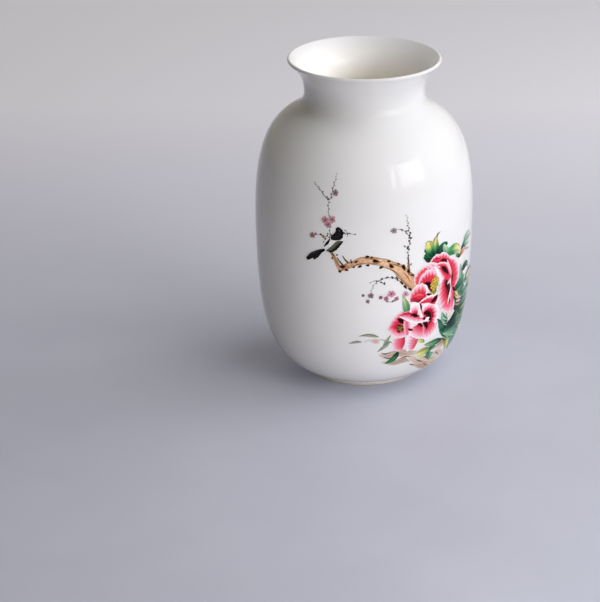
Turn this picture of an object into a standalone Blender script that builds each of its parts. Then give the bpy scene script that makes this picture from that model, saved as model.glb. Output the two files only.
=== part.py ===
"""Wax gourd vase: white porcelain, luted together from turned sections.

A foot ring, a lower body with the floor, an upper body with the shoulder and a flared
mouth are joined with clay slip in rebated joints. The vase stands on its foot ring, +Z up,
with the origin under the middle of the foot. Lengths are in metres, angles in radians.
"""
import math

import bpy
from mathutils import Vector

# Outside of the vase, from the foot up
BASE_HEIGHT = 0.0045
BASE_RADIUS = 0.0555
BASE_SLOPE = math.radians(22.0)
BELLY_RISE = 0.1532
BELLY_RADIUS = 0.1004
SHOULDER_RISE = 0.1120
NECK_RADIUS = 0.0550
MOUTH_RISE = 0.0303
LIP_RADIUS = 0.0700
LIP_SLOPE = math.radians(40.0)

# How far each end of a curve runs straight on, as a part of that curve's own rise
BASE_FULLNESS = 0.24
BELLY_LOWER_FULLNESS = 0.68
BELLY_UPPER_FULLNESS = 0.99
NECK_LOWER_FULLNESS = 0.24
NECK_UPPER_FULLNESS = 0.49
LIP_FULLNESS = 0.39

# Walls
BODY_WALL = 0.0040
LIP_WALL = 0.0032
FLOOR_THICKNESS = 0.0070
BASE_DISH = 0.0012

# Foot ring
FOOT_RING_WIDTH = 0.0062
FOOT_RING_INSET = 0.0020
FOOT_RING_TAPER = 0.0008
FOOT_RING_ROUND = 0.0012
FOOT_SEAT_DEPTH = 0.0020

# Luted joints
SLIP_THICKNESS = 0.0008
CLEARANCE = 0.0003
LAP_HEIGHT = 0.0060

# Fineness of the turned surfaces
TURN_STEPS = 56
BODY_STEPS = 11
MOUTH_STEPS = 7
LIP_STEPS = 6
ROUND_STEPS = 3
HALVINGS = 48
MERGE_DISTANCE = 0.00001
SHARP_ANGLE = math.radians(35.0)

# Levels that follow from the sizes above
BELLY_LEVEL = BASE_HEIGHT + BELLY_RISE
NECK_LEVEL = BELLY_LEVEL + SHOULDER_RISE
LIP_LEVEL = NECK_LEVEL + MOUTH_RISE
FLOOR_LEVEL = BASE_HEIGHT + FLOOR_THICKNESS
FOOT_RING_TOP = BASE_HEIGHT + FOOT_SEAT_DEPTH
SLIP_ROOM = SLIP_THICKNESS + 2.0 * CLEARANCE
FOOT_SEAT_LEVEL = FOOT_RING_TOP + SLIP_ROOM
FOOT_RING_OUTER = BASE_RADIUS - FOOT_RING_INSET
FOOT_RING_INNER = FOOT_RING_OUTER - FOOT_RING_WIDTH
LAP_WALL = 0.5 * (BODY_WALL - SLIP_ROOM)


def at(radius, height):
    """A profile point, as radius from the axis and height above the table."""
    return Vector((radius, height))


def along(angle, length):
    """A step of a given length, at an angle above level."""
    return at(length * math.cos(angle), length * math.sin(angle))


def curve_point(curve, t):
    """Point of a cubic Bezier curve."""
    start, leave, arrive, end = curve
    u = 1.0 - t
    return start * u ** 3 + leave * (3.0 * u * u * t) + arrive * (3.0 * u * t * t) + end * t ** 3


def curve_direction(curve, t):
    """Direction in which a cubic Bezier curve runs."""
    start, leave, arrive, end = curve
    u = 1.0 - t
    run = (leave - start) * (u * u) + (arrive - leave) * (2.0 * u * t) + (end - arrive) * (t * t)
    return run.normalized()


def lower_curve():
    """Outside of the lower body, from the base edge up to the widest level."""
    edge = at(BASE_RADIUS, BASE_HEIGHT)
    belly = at(BELLY_RADIUS, BELLY_LEVEL)
    leave = edge + along(BASE_SLOPE, BASE_FULLNESS * BELLY_RISE)
    return edge, leave, belly - at(0.0, BELLY_LOWER_FULLNESS * BELLY_RISE), belly


def upper_curve():
    """Outside of the upper body, from the widest level over the shoulder to the neck."""
    belly = at(BELLY_RADIUS, BELLY_LEVEL)
    neck = at(NECK_RADIUS, NECK_LEVEL)
    leave = belly + at(0.0, BELLY_UPPER_FULLNESS * SHOULDER_RISE)
    return belly, leave, neck - at(0.0, NECK_LOWER_FULLNESS * SHOULDER_RISE), neck


def lip_centre():
    """Middle of the rounded lip's section."""
    return at(LIP_RADIUS - 0.5 * LIP_WALL, LIP_LEVEL)


def mouth_curve():
    """Outside of the mouth, from the neck out to the underside of the lip."""
    neck = at(NECK_RADIUS, NECK_LEVEL)
    lip = lip_centre() + along(LIP_SLOPE - 0.5 * math.pi, 0.5 * LIP_WALL)
    leave = neck + at(0.0, NECK_UPPER_FULLNESS * MOUTH_RISE)
    return neck, leave, lip - along(LIP_SLOPE, LIP_FULLNESS * MOUTH_RISE), lip


def outside(curve):
    """The outer face of a wall, as a function of the curve's parameter."""
    return lambda t: curve_point(curve, t)


def inside(curve, wall_below, wall_above):
    """The inner face of a wall that tapers upward, measured square to its outer face."""
    def point_at(t):
        run = curve_direction(curve, t)
        wall = wall_below + (wall_above - wall_below) * t
        return curve_point(curve, t) + at(-run.y, run.x) * wall
    return point_at


def parameter_at(point_at, height):
    """Where a face that rises all the way passes a height, found by halving."""
    low = 0.0
    high = 1.0
    for _ in range(HALVINGS):
        middle = 0.5 * (low + high)
        if point_at(middle).y < height:
            low = middle
        else:
            high = middle
    return 0.5 * (low + high)


def rising(point_at, bottom, top, steps):
    """Points up a face between two heights."""
    first = parameter_at(point_at, bottom)
    last = parameter_at(point_at, top)
    return [point_at(first + (last - first) * i / steps) for i in range(steps + 1)]


def arc(centre, radius, start, stop, steps):
    """Points on a circular arc, its two ends included."""
    return [centre + along(start + (stop - start) * i / steps, radius) for i in range(steps + 1)]


class LapJoint:
    """A rebated joint in an upright wall: a tongue inside, a skirt outside, slip between."""

    def __init__(self, outer_radius, level):
        self.outer = outer_radius
        self.inner = outer_radius - BODY_WALL
        self.tongue_face = self.inner + LAP_WALL
        self.skirt_face = self.outer - LAP_WALL
        self.lower_ledge = level - 0.5 * SLIP_ROOM
        self.tongue_top = self.lower_ledge + LAP_HEIGHT
        self.skirt_bottom = self.lower_ledge + SLIP_ROOM
        self.upper_ledge = self.tongue_top + SLIP_ROOM

    def tongue(self):
        """Rim of the section below, from its inner face over to its outer ledge."""
        return [
            at(self.inner, self.tongue_top),
            at(self.tongue_face, self.tongue_top),
            at(self.tongue_face, self.lower_ledge),
        ]

    def skirt(self):
        """Rim of the section above, from under its outer face in to its inner ledge."""
        return [
            at(self.skirt_face, self.skirt_bottom),
            at(self.skirt_face, self.upper_ledge),
        ]

    def slip(self):
        """The ring of slip that fills the step between tongue and skirt."""
        near = self.tongue_face + CLEARANCE
        far = near + SLIP_THICKNESS
        low = self.lower_ledge + CLEARANCE
        high = self.tongue_top + CLEARANCE
        return [
            at(far, high + SLIP_THICKNESS),
            at(far, low + SLIP_THICKNESS),
            at(self.outer, low + SLIP_THICKNESS),
            at(self.outer, low),
            at(near, low),
            at(near, high),
            at(self.inner, high),
            at(self.inner, high + SLIP_THICKNESS),
        ]


WAIST_JOINT = LapJoint(BELLY_RADIUS, BELLY_LEVEL)
NECK_JOINT = LapJoint(NECK_RADIUS, NECK_LEVEL)


def foot_ring_profile():
    """A tapered ring with rounded lower edges and a flat face to stand on."""
    outer_edge = FOOT_RING_OUTER - FOOT_RING_TAPER - FOOT_RING_ROUND
    inner_edge = FOOT_RING_INNER + FOOT_RING_ROUND
    quarter = 0.5 * math.pi
    points = [at(FOOT_RING_OUTER, FOOT_RING_TOP)]
    points += arc(at(outer_edge, FOOT_RING_ROUND), FOOT_RING_ROUND, 0.0, -quarter, ROUND_STEPS)
    points += arc(at(inner_edge, FOOT_RING_ROUND), FOOT_RING_ROUND, -quarter, -2.0 * quarter, ROUND_STEPS)
    points.append(at(FOOT_RING_INNER, FOOT_RING_TOP))
    return points


def foot_slip_profile():
    """A flat ring of slip between the foot ring's top and its seat in the base."""
    bottom = FOOT_RING_TOP + CLEARANCE
    top = bottom + SLIP_THICKNESS
    outer = FOOT_RING_OUTER
    inner = FOOT_RING_INNER
    return [at(outer, top), at(outer, bottom), at(inner, bottom), at(inner, top)]


def foot_seat_profile():
    """The groove under the base that the foot ring is luted into, from its outer side in."""
    outer = FOOT_RING_OUTER + CLEARANCE
    inner = FOOT_RING_INNER - CLEARANCE
    return [
        at(outer, BASE_HEIGHT),
        at(outer, FOOT_SEAT_LEVEL),
        at(inner, FOOT_SEAT_LEVEL),
        at(inner, BASE_HEIGHT),
    ]


def lower_body_profile():
    """Floor and lower wall, from the axis inside round to the axis underneath."""
    curve = lower_curve()
    inner_face = inside(curve, BODY_WALL, BODY_WALL)
    points = [at(0.0, FLOOR_LEVEL)]
    points += rising(inner_face, FLOOR_LEVEL, BELLY_LEVEL, BODY_STEPS)
    points += WAIST_JOINT.tongue()
    points += reversed(rising(outside(curve), BASE_HEIGHT, WAIST_JOINT.lower_ledge, BODY_STEPS))
    points += foot_seat_profile()
    points.append(at(0.0, BASE_HEIGHT + BASE_DISH))
    return points


def upper_body_profile():
    """Belly and shoulder, from the neck down outside and back up inside."""
    curve = upper_curve()
    inner_face = inside(curve, BODY_WALL, BODY_WALL)
    points = list(reversed(rising(outside(curve), WAIST_JOINT.skirt_bottom, NECK_JOINT.lower_ledge, BODY_STEPS)))
    points += WAIST_JOINT.skirt()
    points += rising(inner_face, WAIST_JOINT.upper_ledge, NECK_LEVEL, BODY_STEPS)
    points += NECK_JOINT.tongue()
    return points


def mouth_profile():
    """Neck and flared mouth, from the lip down outside, up inside and over the lip."""
    curve = mouth_curve()
    inner_face = inside(curve, BODY_WALL, LIP_WALL)
    inner_top = inner_face(1.0)
    points = list(reversed(rising(outside(curve), NECK_JOINT.skirt_bottom, curve[-1].y, MOUTH_STEPS)))
    points += NECK_JOINT.skirt()
    points += rising(inner_face, NECK_JOINT.upper_ledge, inner_top.y, MOUTH_STEPS)
    over = arc(lip_centre(), 0.5 * LIP_WALL, LIP_SLOPE + 0.5 * math.pi, LIP_SLOPE - 0.5 * math.pi, LIP_STEPS)
    points += over[1:-1]
    return points


def ceramic(name, colour, roughness):
    """A plain fired finish."""
    material = bpy.data.materials.new(name)
    material.use_nodes = True
    shader = material.node_tree.nodes["Principled BSDF"]
    shader.inputs["Base Color"].default_value = (*colour, 1.0)
    shader.inputs["Roughness"].default_value = roughness
    shader.inputs["Metallic"].default_value = 0.0
    return material


def turned(name, profile, level, material, vase, collection):
    """A piece turned about the upright axis, with its origin on the axis at a level."""
    mesh = bpy.data.meshes.new(name)
    points = [(point.x, 0.0, point.y - level) for point in profile]
    edges = [(i, i + 1) for i in range(len(points) - 1)]
    meets_axis = profile[0].x == 0.0
    if not meets_axis:
        edges.append((len(points) - 1, 0))
    mesh.from_pydata(points, edges, [])
    piece = bpy.data.objects.new(name, mesh)
    collection.objects.link(piece)
    turn = piece.modifiers.new("Turn", 'SCREW')
    turn.axis = 'Z'
    turn.angle = 2.0 * math.pi
    turn.steps = TURN_STEPS
    turn.render_steps = TURN_STEPS
    turn.use_merge_vertices = True
    turn.merge_threshold = MERGE_DISTANCE
    evaluated = piece.evaluated_get(bpy.context.evaluated_depsgraph_get())
    piece.data = bpy.data.meshes.new_from_object(evaluated)
    piece.data.name = name
    piece.modifiers.clear()
    bpy.data.meshes.remove(mesh)
    piece.data.shade_smooth()
    piece.data.set_sharp_from_angle(angle=SHARP_ANGLE)
    piece.data.materials.clear()
    piece.data.materials.append(material)
    piece.location.z = level
    piece.parent = vase
    return piece


def build_vase():
    """All pieces of the vase, in one collection and under one empty."""
    for leftover in list(bpy.data.objects):
        bpy.data.objects.remove(leftover, do_unlink=True)
    collection = bpy.data.collections.new("wax_gourd_vase")
    bpy.context.scene.collection.children.link(collection)
    vase = bpy.data.objects.new("vase_axis", None)
    collection.objects.link(vase)

    glaze = ceramic("white_glaze", (0.86, 0.86, 0.83), 0.08)
    biscuit = ceramic("bare_biscuit", (0.80, 0.76, 0.68), 0.75)
    slip = ceramic("luting_slip", (0.84, 0.82, 0.77), 0.55)

    turned("foot_ring", foot_ring_profile(), 0.0, biscuit, vase, collection)
    turned("foot_joint_slip", foot_slip_profile(), FOOT_RING_TOP, slip, vase, collection)
    turned("lower_body", lower_body_profile(), BASE_HEIGHT, glaze, vase, collection)
    turned("waist_joint_slip", WAIST_JOINT.slip(), BELLY_LEVEL, slip, vase, collection)
    turned("upper_body", upper_body_profile(), BELLY_LEVEL, glaze, vase, collection)
    turned("neck_joint_slip", NECK_JOINT.slip(), NECK_LEVEL, slip, vase, collection)
    turned("flared_mouth", mouth_profile(), NECK_LEVEL, glaze, vase, collection)
    bpy.context.view_layer.update()


build_vase()
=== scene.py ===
"""Looks of the wax gourd vase.

A white glazed porcelain vase stands on a pale floor. Its foot ring, three sections and the luting slip
between them are turned surfaces, and its spray of peonies, plum twigs and a magpie is enamel painted over
the glaze. Lengths are in metres in the frame of the solids. The painting is drawn in millimetres: x runs
along the widest circle, from the front to the viewer's right, and z runs upwards.
"""
import math

import bpy
import numpy as np
from mathutils import Matrix, Vector


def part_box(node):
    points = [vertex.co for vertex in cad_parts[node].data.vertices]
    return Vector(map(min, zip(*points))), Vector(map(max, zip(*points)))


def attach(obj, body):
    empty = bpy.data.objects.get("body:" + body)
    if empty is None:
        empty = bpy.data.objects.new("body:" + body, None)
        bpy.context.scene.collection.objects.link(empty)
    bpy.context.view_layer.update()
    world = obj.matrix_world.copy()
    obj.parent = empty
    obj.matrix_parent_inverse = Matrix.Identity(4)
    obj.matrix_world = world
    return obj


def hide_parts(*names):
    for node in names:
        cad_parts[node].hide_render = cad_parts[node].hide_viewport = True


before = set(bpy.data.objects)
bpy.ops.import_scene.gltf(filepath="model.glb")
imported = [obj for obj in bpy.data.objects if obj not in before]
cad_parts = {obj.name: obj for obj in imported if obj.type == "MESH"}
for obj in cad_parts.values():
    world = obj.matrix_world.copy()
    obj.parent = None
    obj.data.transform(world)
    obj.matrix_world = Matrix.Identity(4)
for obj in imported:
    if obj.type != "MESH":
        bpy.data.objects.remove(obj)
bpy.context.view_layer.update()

# Sizes of the construction, and the outline's slopes and fullness
SLIP_THICKNESS = 0.0008
SLIP_CLEARANCE = 0.0003
LAP_HEIGHT = 0.0060
GLAZE_BRIDGE = 0.0006
BODY_WALL = 0.0040
LIP_WALL = 0.0032
FLOOR_LEVEL = 0.0115
FLOOR_ROUND = 0.0140
FLOOR_LANDING = 1.6
FLOOR_PULL = 0.66
BASE_RADIUS = 0.0555
BASE_DISH = 0.0012
DISH_CROWN = 0.45
DISH_EDGE = 0.8
FOOT_RING_WIDTH = 0.0062
FOOT_TAPER = 0.0008
FOOT_ROUND = 0.0012
BASE_SLOPE = math.radians(22)
LIP_SLOPE = math.radians(40)
BASE_FULLNESS = 0.24
BELLY_LOWER_FULLNESS = 0.68
BELLY_UPPER_FULLNESS = 0.99
NECK_LOWER_FULLNESS = 0.24
NECK_UPPER_FULLNESS = 0.49
LIP_FULLNESS = 0.39

# Sizes read from the frame
BASE_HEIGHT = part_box("lower_body")[0].z
BELLY_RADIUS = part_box("waist_joint_slip")[1].x
BELLY_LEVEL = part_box("waist_joint_slip")[0].z + SLIP_THICKNESS / 2
NECK_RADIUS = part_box("neck_joint_slip")[1].x
NECK_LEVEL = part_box("neck_joint_slip")[0].z + SLIP_THICKNESS / 2
LIP_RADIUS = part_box("flared_mouth")[1].x
LIP_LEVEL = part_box("flared_mouth")[1].z - LIP_WALL / 2
FOOT_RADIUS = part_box("foot_ring")[1].x
FOOT_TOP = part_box("foot_ring")[1].z
FOOT_SLIP_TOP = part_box("foot_joint_slip")[1].z

BELLY_RISE = BELLY_LEVEL - BASE_HEIGHT
SHOULDER_RISE = NECK_LEVEL - BELLY_LEVEL
MOUTH_RISE = LIP_LEVEL - NECK_LEVEL

# Fineness of the turned meshes, and the least step beside a cut
TURN_STEPS = 256
WALL_STEPS = 64
MOUTH_STEPS = 28
ROUND_STEPS = 10
FOOT_EDGE_STEPS = 2
FOOT_SIDE_STEPS = 4
DISH_STEPS = 24
BEND_STEPS = 16
FLOOR_STEPS = 10
TABLE_STEPS = 600
CUT_GAP = 1e-5

# Fineness of the painting, and the lift of its first patch and of each patch over the one before
MM_PER_METRE = 1000
SPLINE_STEPS = 16
PATCH_STEP = 0.8
FIRST_LIFT = 0.05
LAYER_STEP = 0.012

# Brushwork: two sine waves as counts of the coarse and fine one, and the fine one's share and shift
VEIN_WAVES = (7, 17, 0.7, 3.7)
SCALLOP_WAVES = (5, 9, 0.6, 2.3)
PETAL_FRILL = 0.032
PETAL_VEINING = 0.06
BLOT_UNEVENNESS = 0.12

# Leaves: their teeth, veins, midrib, pale margin, brush streaks and darker half
LEAF_VEINS = 5
TEETH_PER_VEIN = 1.6
TOOTH_DEPTH = 0.12
VEIN_SLANT = 0.9
VEIN_SHARPNESS = 6
VEIN_PALENESS = 0.32
MIDRIB_PALENESS = 0.35
MIDRIB_WIDTH = 0.12
MARGIN_PALENESS = 0.4
MARGIN_SHARPNESS = 5
TONE_LAG = 0.14
STREAK_STRENGTH = 0.03
STREAK_COUNT = 9
HALF_SHADE = 0.2

# Stamens, buds, blossoms, bark flecks and knots
STAMEN_COUNT = 40
STAMEN_MIDDLE = (67.3, 109.6)
SIDE_STAMEN_COUNT = 12
GOLDEN_TURN = 2.39996
ROUGH_GOLDEN_TURN = 2.4
BUD_SPACING = 2.4
BUD_SIZE = 0.87
BUD_OFFSET = 0.8
FAINT_FROM = 150
FAINT_OVER = 50
BLOSSOM_PETALS = 5
BLOSSOM_DOT_TURN = 1.257
FLECK_COUNT = 44
KNOT_LENGTH = 1.15
KNOT_WIDTH = 1.2

# The heights between which the glaze ends on the foot ring
GLAZE_EDGE = (0.0021, 0.0026)

# Noise mostly lies in this range, and the mix node keeps its colour sockets at these places
NOISE_RANGE = (0.3, 0.7)
COLOUR_MIX_INPUTS = (0, 6, 7)
COLOUR_MIX_OUTPUT = 2

# The camera, from the picture's own size
PICTURE_HEIGHT = 602
FOCAL_LENGTH = 2622
SENSOR = 36.0
FAR_CLIP = 100
CAMERA_PLACE = (-0.0596, -2.2805, 0.9861)
CAMERA_PITCH = math.radians(22.02)
CAMERA_ROLL = math.radians(0.37)


def bezier(corners, steps):
    """A cubic curve: four corner points weighted by the Bernstein polynomials of t from 0 to 1."""
    t = np.linspace(0, 1, steps + 1)[:, None]
    a, b, c, d = np.array(corners, float)
    return (1 - t) ** 3 * a + 3 * t * (1 - t) ** 2 * b + 3 * t**2 * (1 - t) * c + t**3 * d


def straight(first, last, steps=1):
    """A straight run from one (r, z) point to another, in equal steps."""
    return np.linspace(first, last, steps + 1)


def arc(centre, radius, start, end):
    """Part of a circle: centre plus radius times (cos a, sin a), with a from start to end in degrees."""
    a = np.radians(np.linspace(start, end, ROUND_STEPS + 1))
    return np.array(centre) + radius * np.stack([np.cos(a), np.sin(a)], 1)


def run_normals(run):
    """Unit normals of a profile run: its direction turned a quarter turn to the right."""
    along = np.concatenate([[0], np.cumsum(np.linalg.norm(np.diff(run, axis=0), axis=1))])
    step = np.gradient(run, along, axis=0, edge_order=2 if len(run) > 2 else 1)
    normal = np.stack([step[:, 1], -step[:, 0]], 1)
    return normal / np.linalg.norm(normal, axis=1, keepdims=True)


def lower_outline(steps=WALL_STEPS):
    """The outer wall from the base to the widest level, a curve that ends upright."""
    reach = BASE_FULLNESS * BELLY_RISE
    leave = (BASE_RADIUS + reach * math.cos(BASE_SLOPE), BASE_HEIGHT + reach * math.sin(BASE_SLOPE))
    arrive = (BELLY_RADIUS, BELLY_LEVEL - BELLY_LOWER_FULLNESS * BELLY_RISE)
    return bezier([(BASE_RADIUS, BASE_HEIGHT), leave, arrive, (BELLY_RADIUS, BELLY_LEVEL)], steps)


def upper_outline(steps=WALL_STEPS):
    """The outer wall from the widest level over the shoulder to the neck, upright at both ends."""
    leave = (BELLY_RADIUS, BELLY_LEVEL + BELLY_UPPER_FULLNESS * SHOULDER_RISE)
    arrive = (NECK_RADIUS, NECK_LEVEL - NECK_LOWER_FULLNESS * SHOULDER_RISE)
    return bezier([(BELLY_RADIUS, BELLY_LEVEL), leave, arrive, (NECK_RADIUS, NECK_LEVEL)], steps)


def mouth_outline(steps=MOUTH_STEPS):
    """The outer wall from the neck to the lip's half-round, which it meets at the lip's slope."""
    rim = LIP_WALL / 2
    end = np.array([LIP_RADIUS - rim + rim * math.sin(LIP_SLOPE), LIP_LEVEL - rim * math.cos(LIP_SLOPE)])
    leave = (NECK_RADIUS, NECK_LEVEL + NECK_UPPER_FULLNESS * MOUTH_RISE)
    arrive = end - LIP_FULLNESS * MOUTH_RISE * np.array([math.cos(LIP_SLOPE), math.sin(LIP_SLOPE)])
    return bezier([(NECK_RADIUS, NECK_LEVEL), leave, arrive, end], steps)


def inner(outline, last_wall=BODY_WALL):
    """The inner wall: each outer point moved in along its normal by a wall that changes evenly."""
    wall = np.linspace(BODY_WALL, last_wall, len(outline))[:, None]
    return outline - wall * run_normals(outline)


def whole_outline():
    """Radius, height and normal of the outer wall from the base to the lip, as one table by height."""
    runs = [lower_outline(TABLE_STEPS), upper_outline(TABLE_STEPS)[1:],
            mouth_outline(TABLE_STEPS // 2)[1:]]
    points = np.vstack(runs)
    return np.hstack([points, run_normals(points)])


OUTLINE = whole_outline()


def radius_at(outline, level):
    """Radius of an outline at a height, read between its points."""
    order = np.argsort(outline[:, 1])
    return float(np.interp(level, outline[order, 1], outline[order, 0]))


def inner_outline():
    """The inner wall of all three sections as one run from low to high."""
    runs = [inner(lower_outline()), inner(upper_outline())[1:], inner(mouth_outline(), LIP_WALL)[1:]]
    return np.vstack(runs)


INNER = inner_outline()


def inner_between(low, high):
    """The inner wall between two heights, going up, with its ends cut exactly there."""
    part = INNER[(INNER[:, 1] > low + CUT_GAP) & (INNER[:, 1] < high - CUT_GAP)]
    ends = [(radius_at(INNER, level), level) for level in (low, high)]
    return np.vstack([ends[:1], part, ends[1:]])


def runs_through(corners):
    """Straight runs from each corner of a stepped profile to the next."""
    return [straight(a, b) for a, b in zip(corners, corners[1:])]


class LapJoint:
    """A lapped joint of the wall: the lower section's tongue stands inside the upper section's skirt,
    with a stepped ring of slip between. The fired glaze bridges the seams on both faces of the wall."""

    def __init__(self, level, outer):
        self.low = level
        self.high = level + LAP_HEIGHT
        self.outer = outer
        self.inner = radius_at(INNER, self.high)
        self.outside = self.outer - GLAZE_BRIDGE
        self.inside = self.inner + GLAZE_BRIDGE
        self.middle = (self.outer + self.inner) / 2
        self.gap = SLIP_THICKNESS / 2 + SLIP_CLEARANCE

    def tongue(self):
        """The lower section's edge, from its outer seam in to its inner seam."""
        face = self.middle - self.gap
        return runs_through([
            (self.outer, self.low), (self.outside, self.low), (self.outside, self.low - self.gap),
            (face, self.low - self.gap), (face, self.high - self.gap),
            (self.inside, self.high - self.gap), (self.inside, self.high), (self.inner, self.high)])

    def skirt(self):
        """The upper section's edge, from its inner seam out to its outer seam."""
        face = self.middle + self.gap
        return runs_through([
            (self.inner, self.high), (self.inside, self.high), (self.inside, self.high + self.gap),
            (face, self.high + self.gap), (face, self.low + self.gap),
            (self.outside, self.low + self.gap), (self.outside, self.low), (self.outer, self.low)])

    def slip(self):
        """The ring of slip: a flange under each seam and a web between tongue and skirt."""
        half = SLIP_THICKNESS / 2
        outside = self.outside - SLIP_CLEARANCE
        inside = self.inside + SLIP_CLEARANCE
        corners = [
            (self.middle - half, self.low - half), (outside, self.low - half), (outside, self.low + half),
            (self.middle + half, self.low + half), (self.middle + half, self.high + half),
            (inside, self.high + half), (inside, self.high - half),
            (self.middle - half, self.high - half)]
        return runs_through(corners + corners[:1])


WAIST = LapJoint(BELLY_LEVEL, BELLY_RADIUS)
NECK = LapJoint(NECK_LEVEL, NECK_RADIUS)


def foot_ring_profile():
    """A ring with a flat underside, rounded lower edges and sides that taper in towards the floor."""
    inner_radius = FOOT_RADIUS - FOOT_RING_WIDTH
    low_outer = FOOT_RADIUS - FOOT_TAPER - FOOT_ROUND
    low_inner = inner_radius + FOOT_TAPER + FOOT_ROUND
    outer_round = arc((low_outer, FOOT_ROUND), FOOT_ROUND, -90, 0)
    inner_round = arc((low_inner, FOOT_ROUND), FOOT_ROUND, 180, 270)
    return [
        straight((low_inner, 0), (low_outer, 0), FOOT_EDGE_STEPS),
        outer_round,
        straight(outer_round[-1], (FOOT_RADIUS, FOOT_TOP), FOOT_SIDE_STEPS),
        straight((FOOT_RADIUS, FOOT_TOP), (inner_radius, FOOT_TOP), FOOT_EDGE_STEPS),
        straight((inner_radius, FOOT_TOP), inner_round[0], FOOT_SIDE_STEPS),
        inner_round]


def underside_profile():
    """The base from the axis outwards: a shallow dish, the seat of the foot ring, and the base's edge."""
    inner_radius = FOOT_RADIUS - FOOT_RING_WIDTH
    seat = FOOT_SLIP_TOP + SLIP_CLEARANCE
    top = BASE_HEIGHT + BASE_DISH
    dish = bezier([(0, top), (DISH_CROWN * inner_radius, top), (DISH_EDGE * inner_radius, BASE_HEIGHT),
                   (inner_radius, BASE_HEIGHT)], DISH_STEPS)
    return [dish] + runs_through([
        (inner_radius, BASE_HEIGHT), (inner_radius, seat), (FOOT_RADIUS, seat),
        (FOOT_RADIUS, BASE_HEIGHT), (BASE_RADIUS, BASE_HEIGHT)])


def floor_profile():
    """The inside floor: the wall curves into it and it runs level to the axis."""
    level = FLOOR_LEVEL + FLOOR_ROUND
    wall = inner_between(level, WAIST.high)
    slope = (wall[1] - wall[0]) / (wall[1, 1] - wall[0, 1])
    corner = wall[0] - slope * FLOOR_ROUND
    landing = np.array([corner[0] - FLOOR_LANDING * FLOOR_ROUND, FLOOR_LEVEL])
    leave = wall[0] + FLOOR_PULL * (corner - wall[0])
    arrive = landing + FLOOR_PULL * (corner - landing)
    bend = bezier([wall[0], leave, arrive, landing], BEND_STEPS)
    return [wall[::-1], bend, straight(landing, (0, FLOOR_LEVEL), FLOOR_STEPS)]


def swept(pairs, shift=0):
    """Points or normals (r, z) of a profile, turned to each column's angle a: (r cos a, r sin a, z).
    A shift of one turns them to the next column's angle instead."""
    angle = np.roll(np.arange(TURN_STEPS) * 2 * np.pi / TURN_STEPS, -shift)
    cosine, sine = np.cos(angle), np.sin(angle)
    return np.stack([pairs[:, :1] * cosine, pairs[:, :1] * sine, pairs[:, 1:] + 0 * cosine], -1)


def turned_normals(runs):
    """Normals at each quad's four corners. Each run keeps its own, so corners between runs are crisp."""
    first = np.vstack([run_normals(run)[:-1] for run in runs])
    last = np.vstack([run_normals(run)[1:] for run in runs])
    return np.stack([swept(first), swept(first, 1), swept(last, 1), swept(last)], 2)


def turned_quads(profile, bands):
    """The point numbers of each quad's four corners, band by band. A row on the axis has one point."""
    index = np.arange(len(profile) * TURN_STEPS).reshape(-1, TURN_STEPS)
    on_axis = profile[:, 0] == 0
    index[on_axis] = index[on_axis, :1]
    low, high = index[:bands], np.roll(index, -1, axis=0)[:bands]
    return np.stack([low, np.roll(low, -1, 1), np.roll(high, -1, 1), high], -1)


def turned(name, runs):
    """A closed profile carried once round the upright axis. One that starts on the axis ends there too,
    and its first and last bands are triangles about one point."""
    on_axis = runs[0][0, 0] == 0
    profile = np.vstack([runs[0][:1]] + [run[1:] for run in runs])
    if not on_axis:
        profile = profile[:-1]
    corners = turned_normals(runs)
    quads = turned_quads(profile, len(corners))
    faces, normals = [], []
    if on_axis:
        faces += quads[0][:, [0, 2, 3]].tolist() + quads[-1][:, [0, 1, 2]].tolist()
        normals += [corners[0][:, [0, 2, 3]].reshape(-1, 3), corners[-1][:, [0, 1, 2]].reshape(-1, 3)]
        quads, corners = quads[1:-1], corners[1:-1]
    faces += quads.reshape(-1, 4).tolist()
    normals.append(corners.reshape(-1, 3))
    used, flat = np.unique(np.concatenate([np.ravel(face) for face in faces]), return_inverse=True)
    ends = np.cumsum([len(face) for face in faces])
    renumbered = [part.tolist() for part in np.split(flat, ends[:-1])]
    return new_piece(name, swept(profile).reshape(-1, 3)[used], renumbered, np.vstack(normals))


def new_piece(name, points, faces, corner_normals):
    """A smooth mesh object at the origin from points, faces and one normal for each face corner."""
    mesh = bpy.data.meshes.new(name)
    mesh.from_pydata(points.tolist(), [], faces)
    mesh.polygons.foreach_set("use_smooth", np.ones(len(mesh.polygons), bool))
    mesh.normals_split_custom_set(corner_normals.tolist())
    mesh.update()
    piece = bpy.data.objects.new(name, mesh)
    bpy.context.scene.collection.objects.link(piece)
    return piece


def mark_depth(piece):
    """Stores how deep each point lies inside the vase: 0 outside and at the lip, rising to 1 inside."""
    count = len(piece.data.vertices)
    points = np.empty(count * 3)
    piece.data.vertices.foreach_get("co", points)
    points = points.reshape(-1, 3)
    outside = np.interp(points[:, 2], OUTLINE[:, 1], OUTLINE[:, 0])
    within = outside - np.hypot(points[:, 0], points[:, 1]) > LIP_WALL / 2
    above_base = points[:, 2] > 2 * BASE_HEIGHT
    # The glaze's painted inside light follows this depth
    depth = np.clip((LIP_LEVEL - points[:, 2]) / MOUTH_RISE, 0, 1) * within * above_base
    layer = piece.data.attributes.new("depth", "FLOAT", "POINT")
    layer.data.foreach_set("value", depth.astype(np.float32))


def finish_piece(piece, material, slot, *nodes):
    """Gives a piece its material, lets it ride on the vase, and stands it for its solids. Its slot is
    not used.
    """
    piece.data.materials.append(material)
    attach(piece, "root")
    if nodes:
        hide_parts(*nodes)
    return piece


# Materials
def new_material(name, roughness):
    """A material with one principled shader, its roughness set on the shader's own socket."""
    material = bpy.data.materials.new(name)
    material.use_nodes = True
    shader = material.node_tree.nodes["Principled BSDF"]
    shader.inputs["Roughness"].default_value = roughness
    return material, material.node_tree, shader


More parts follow.
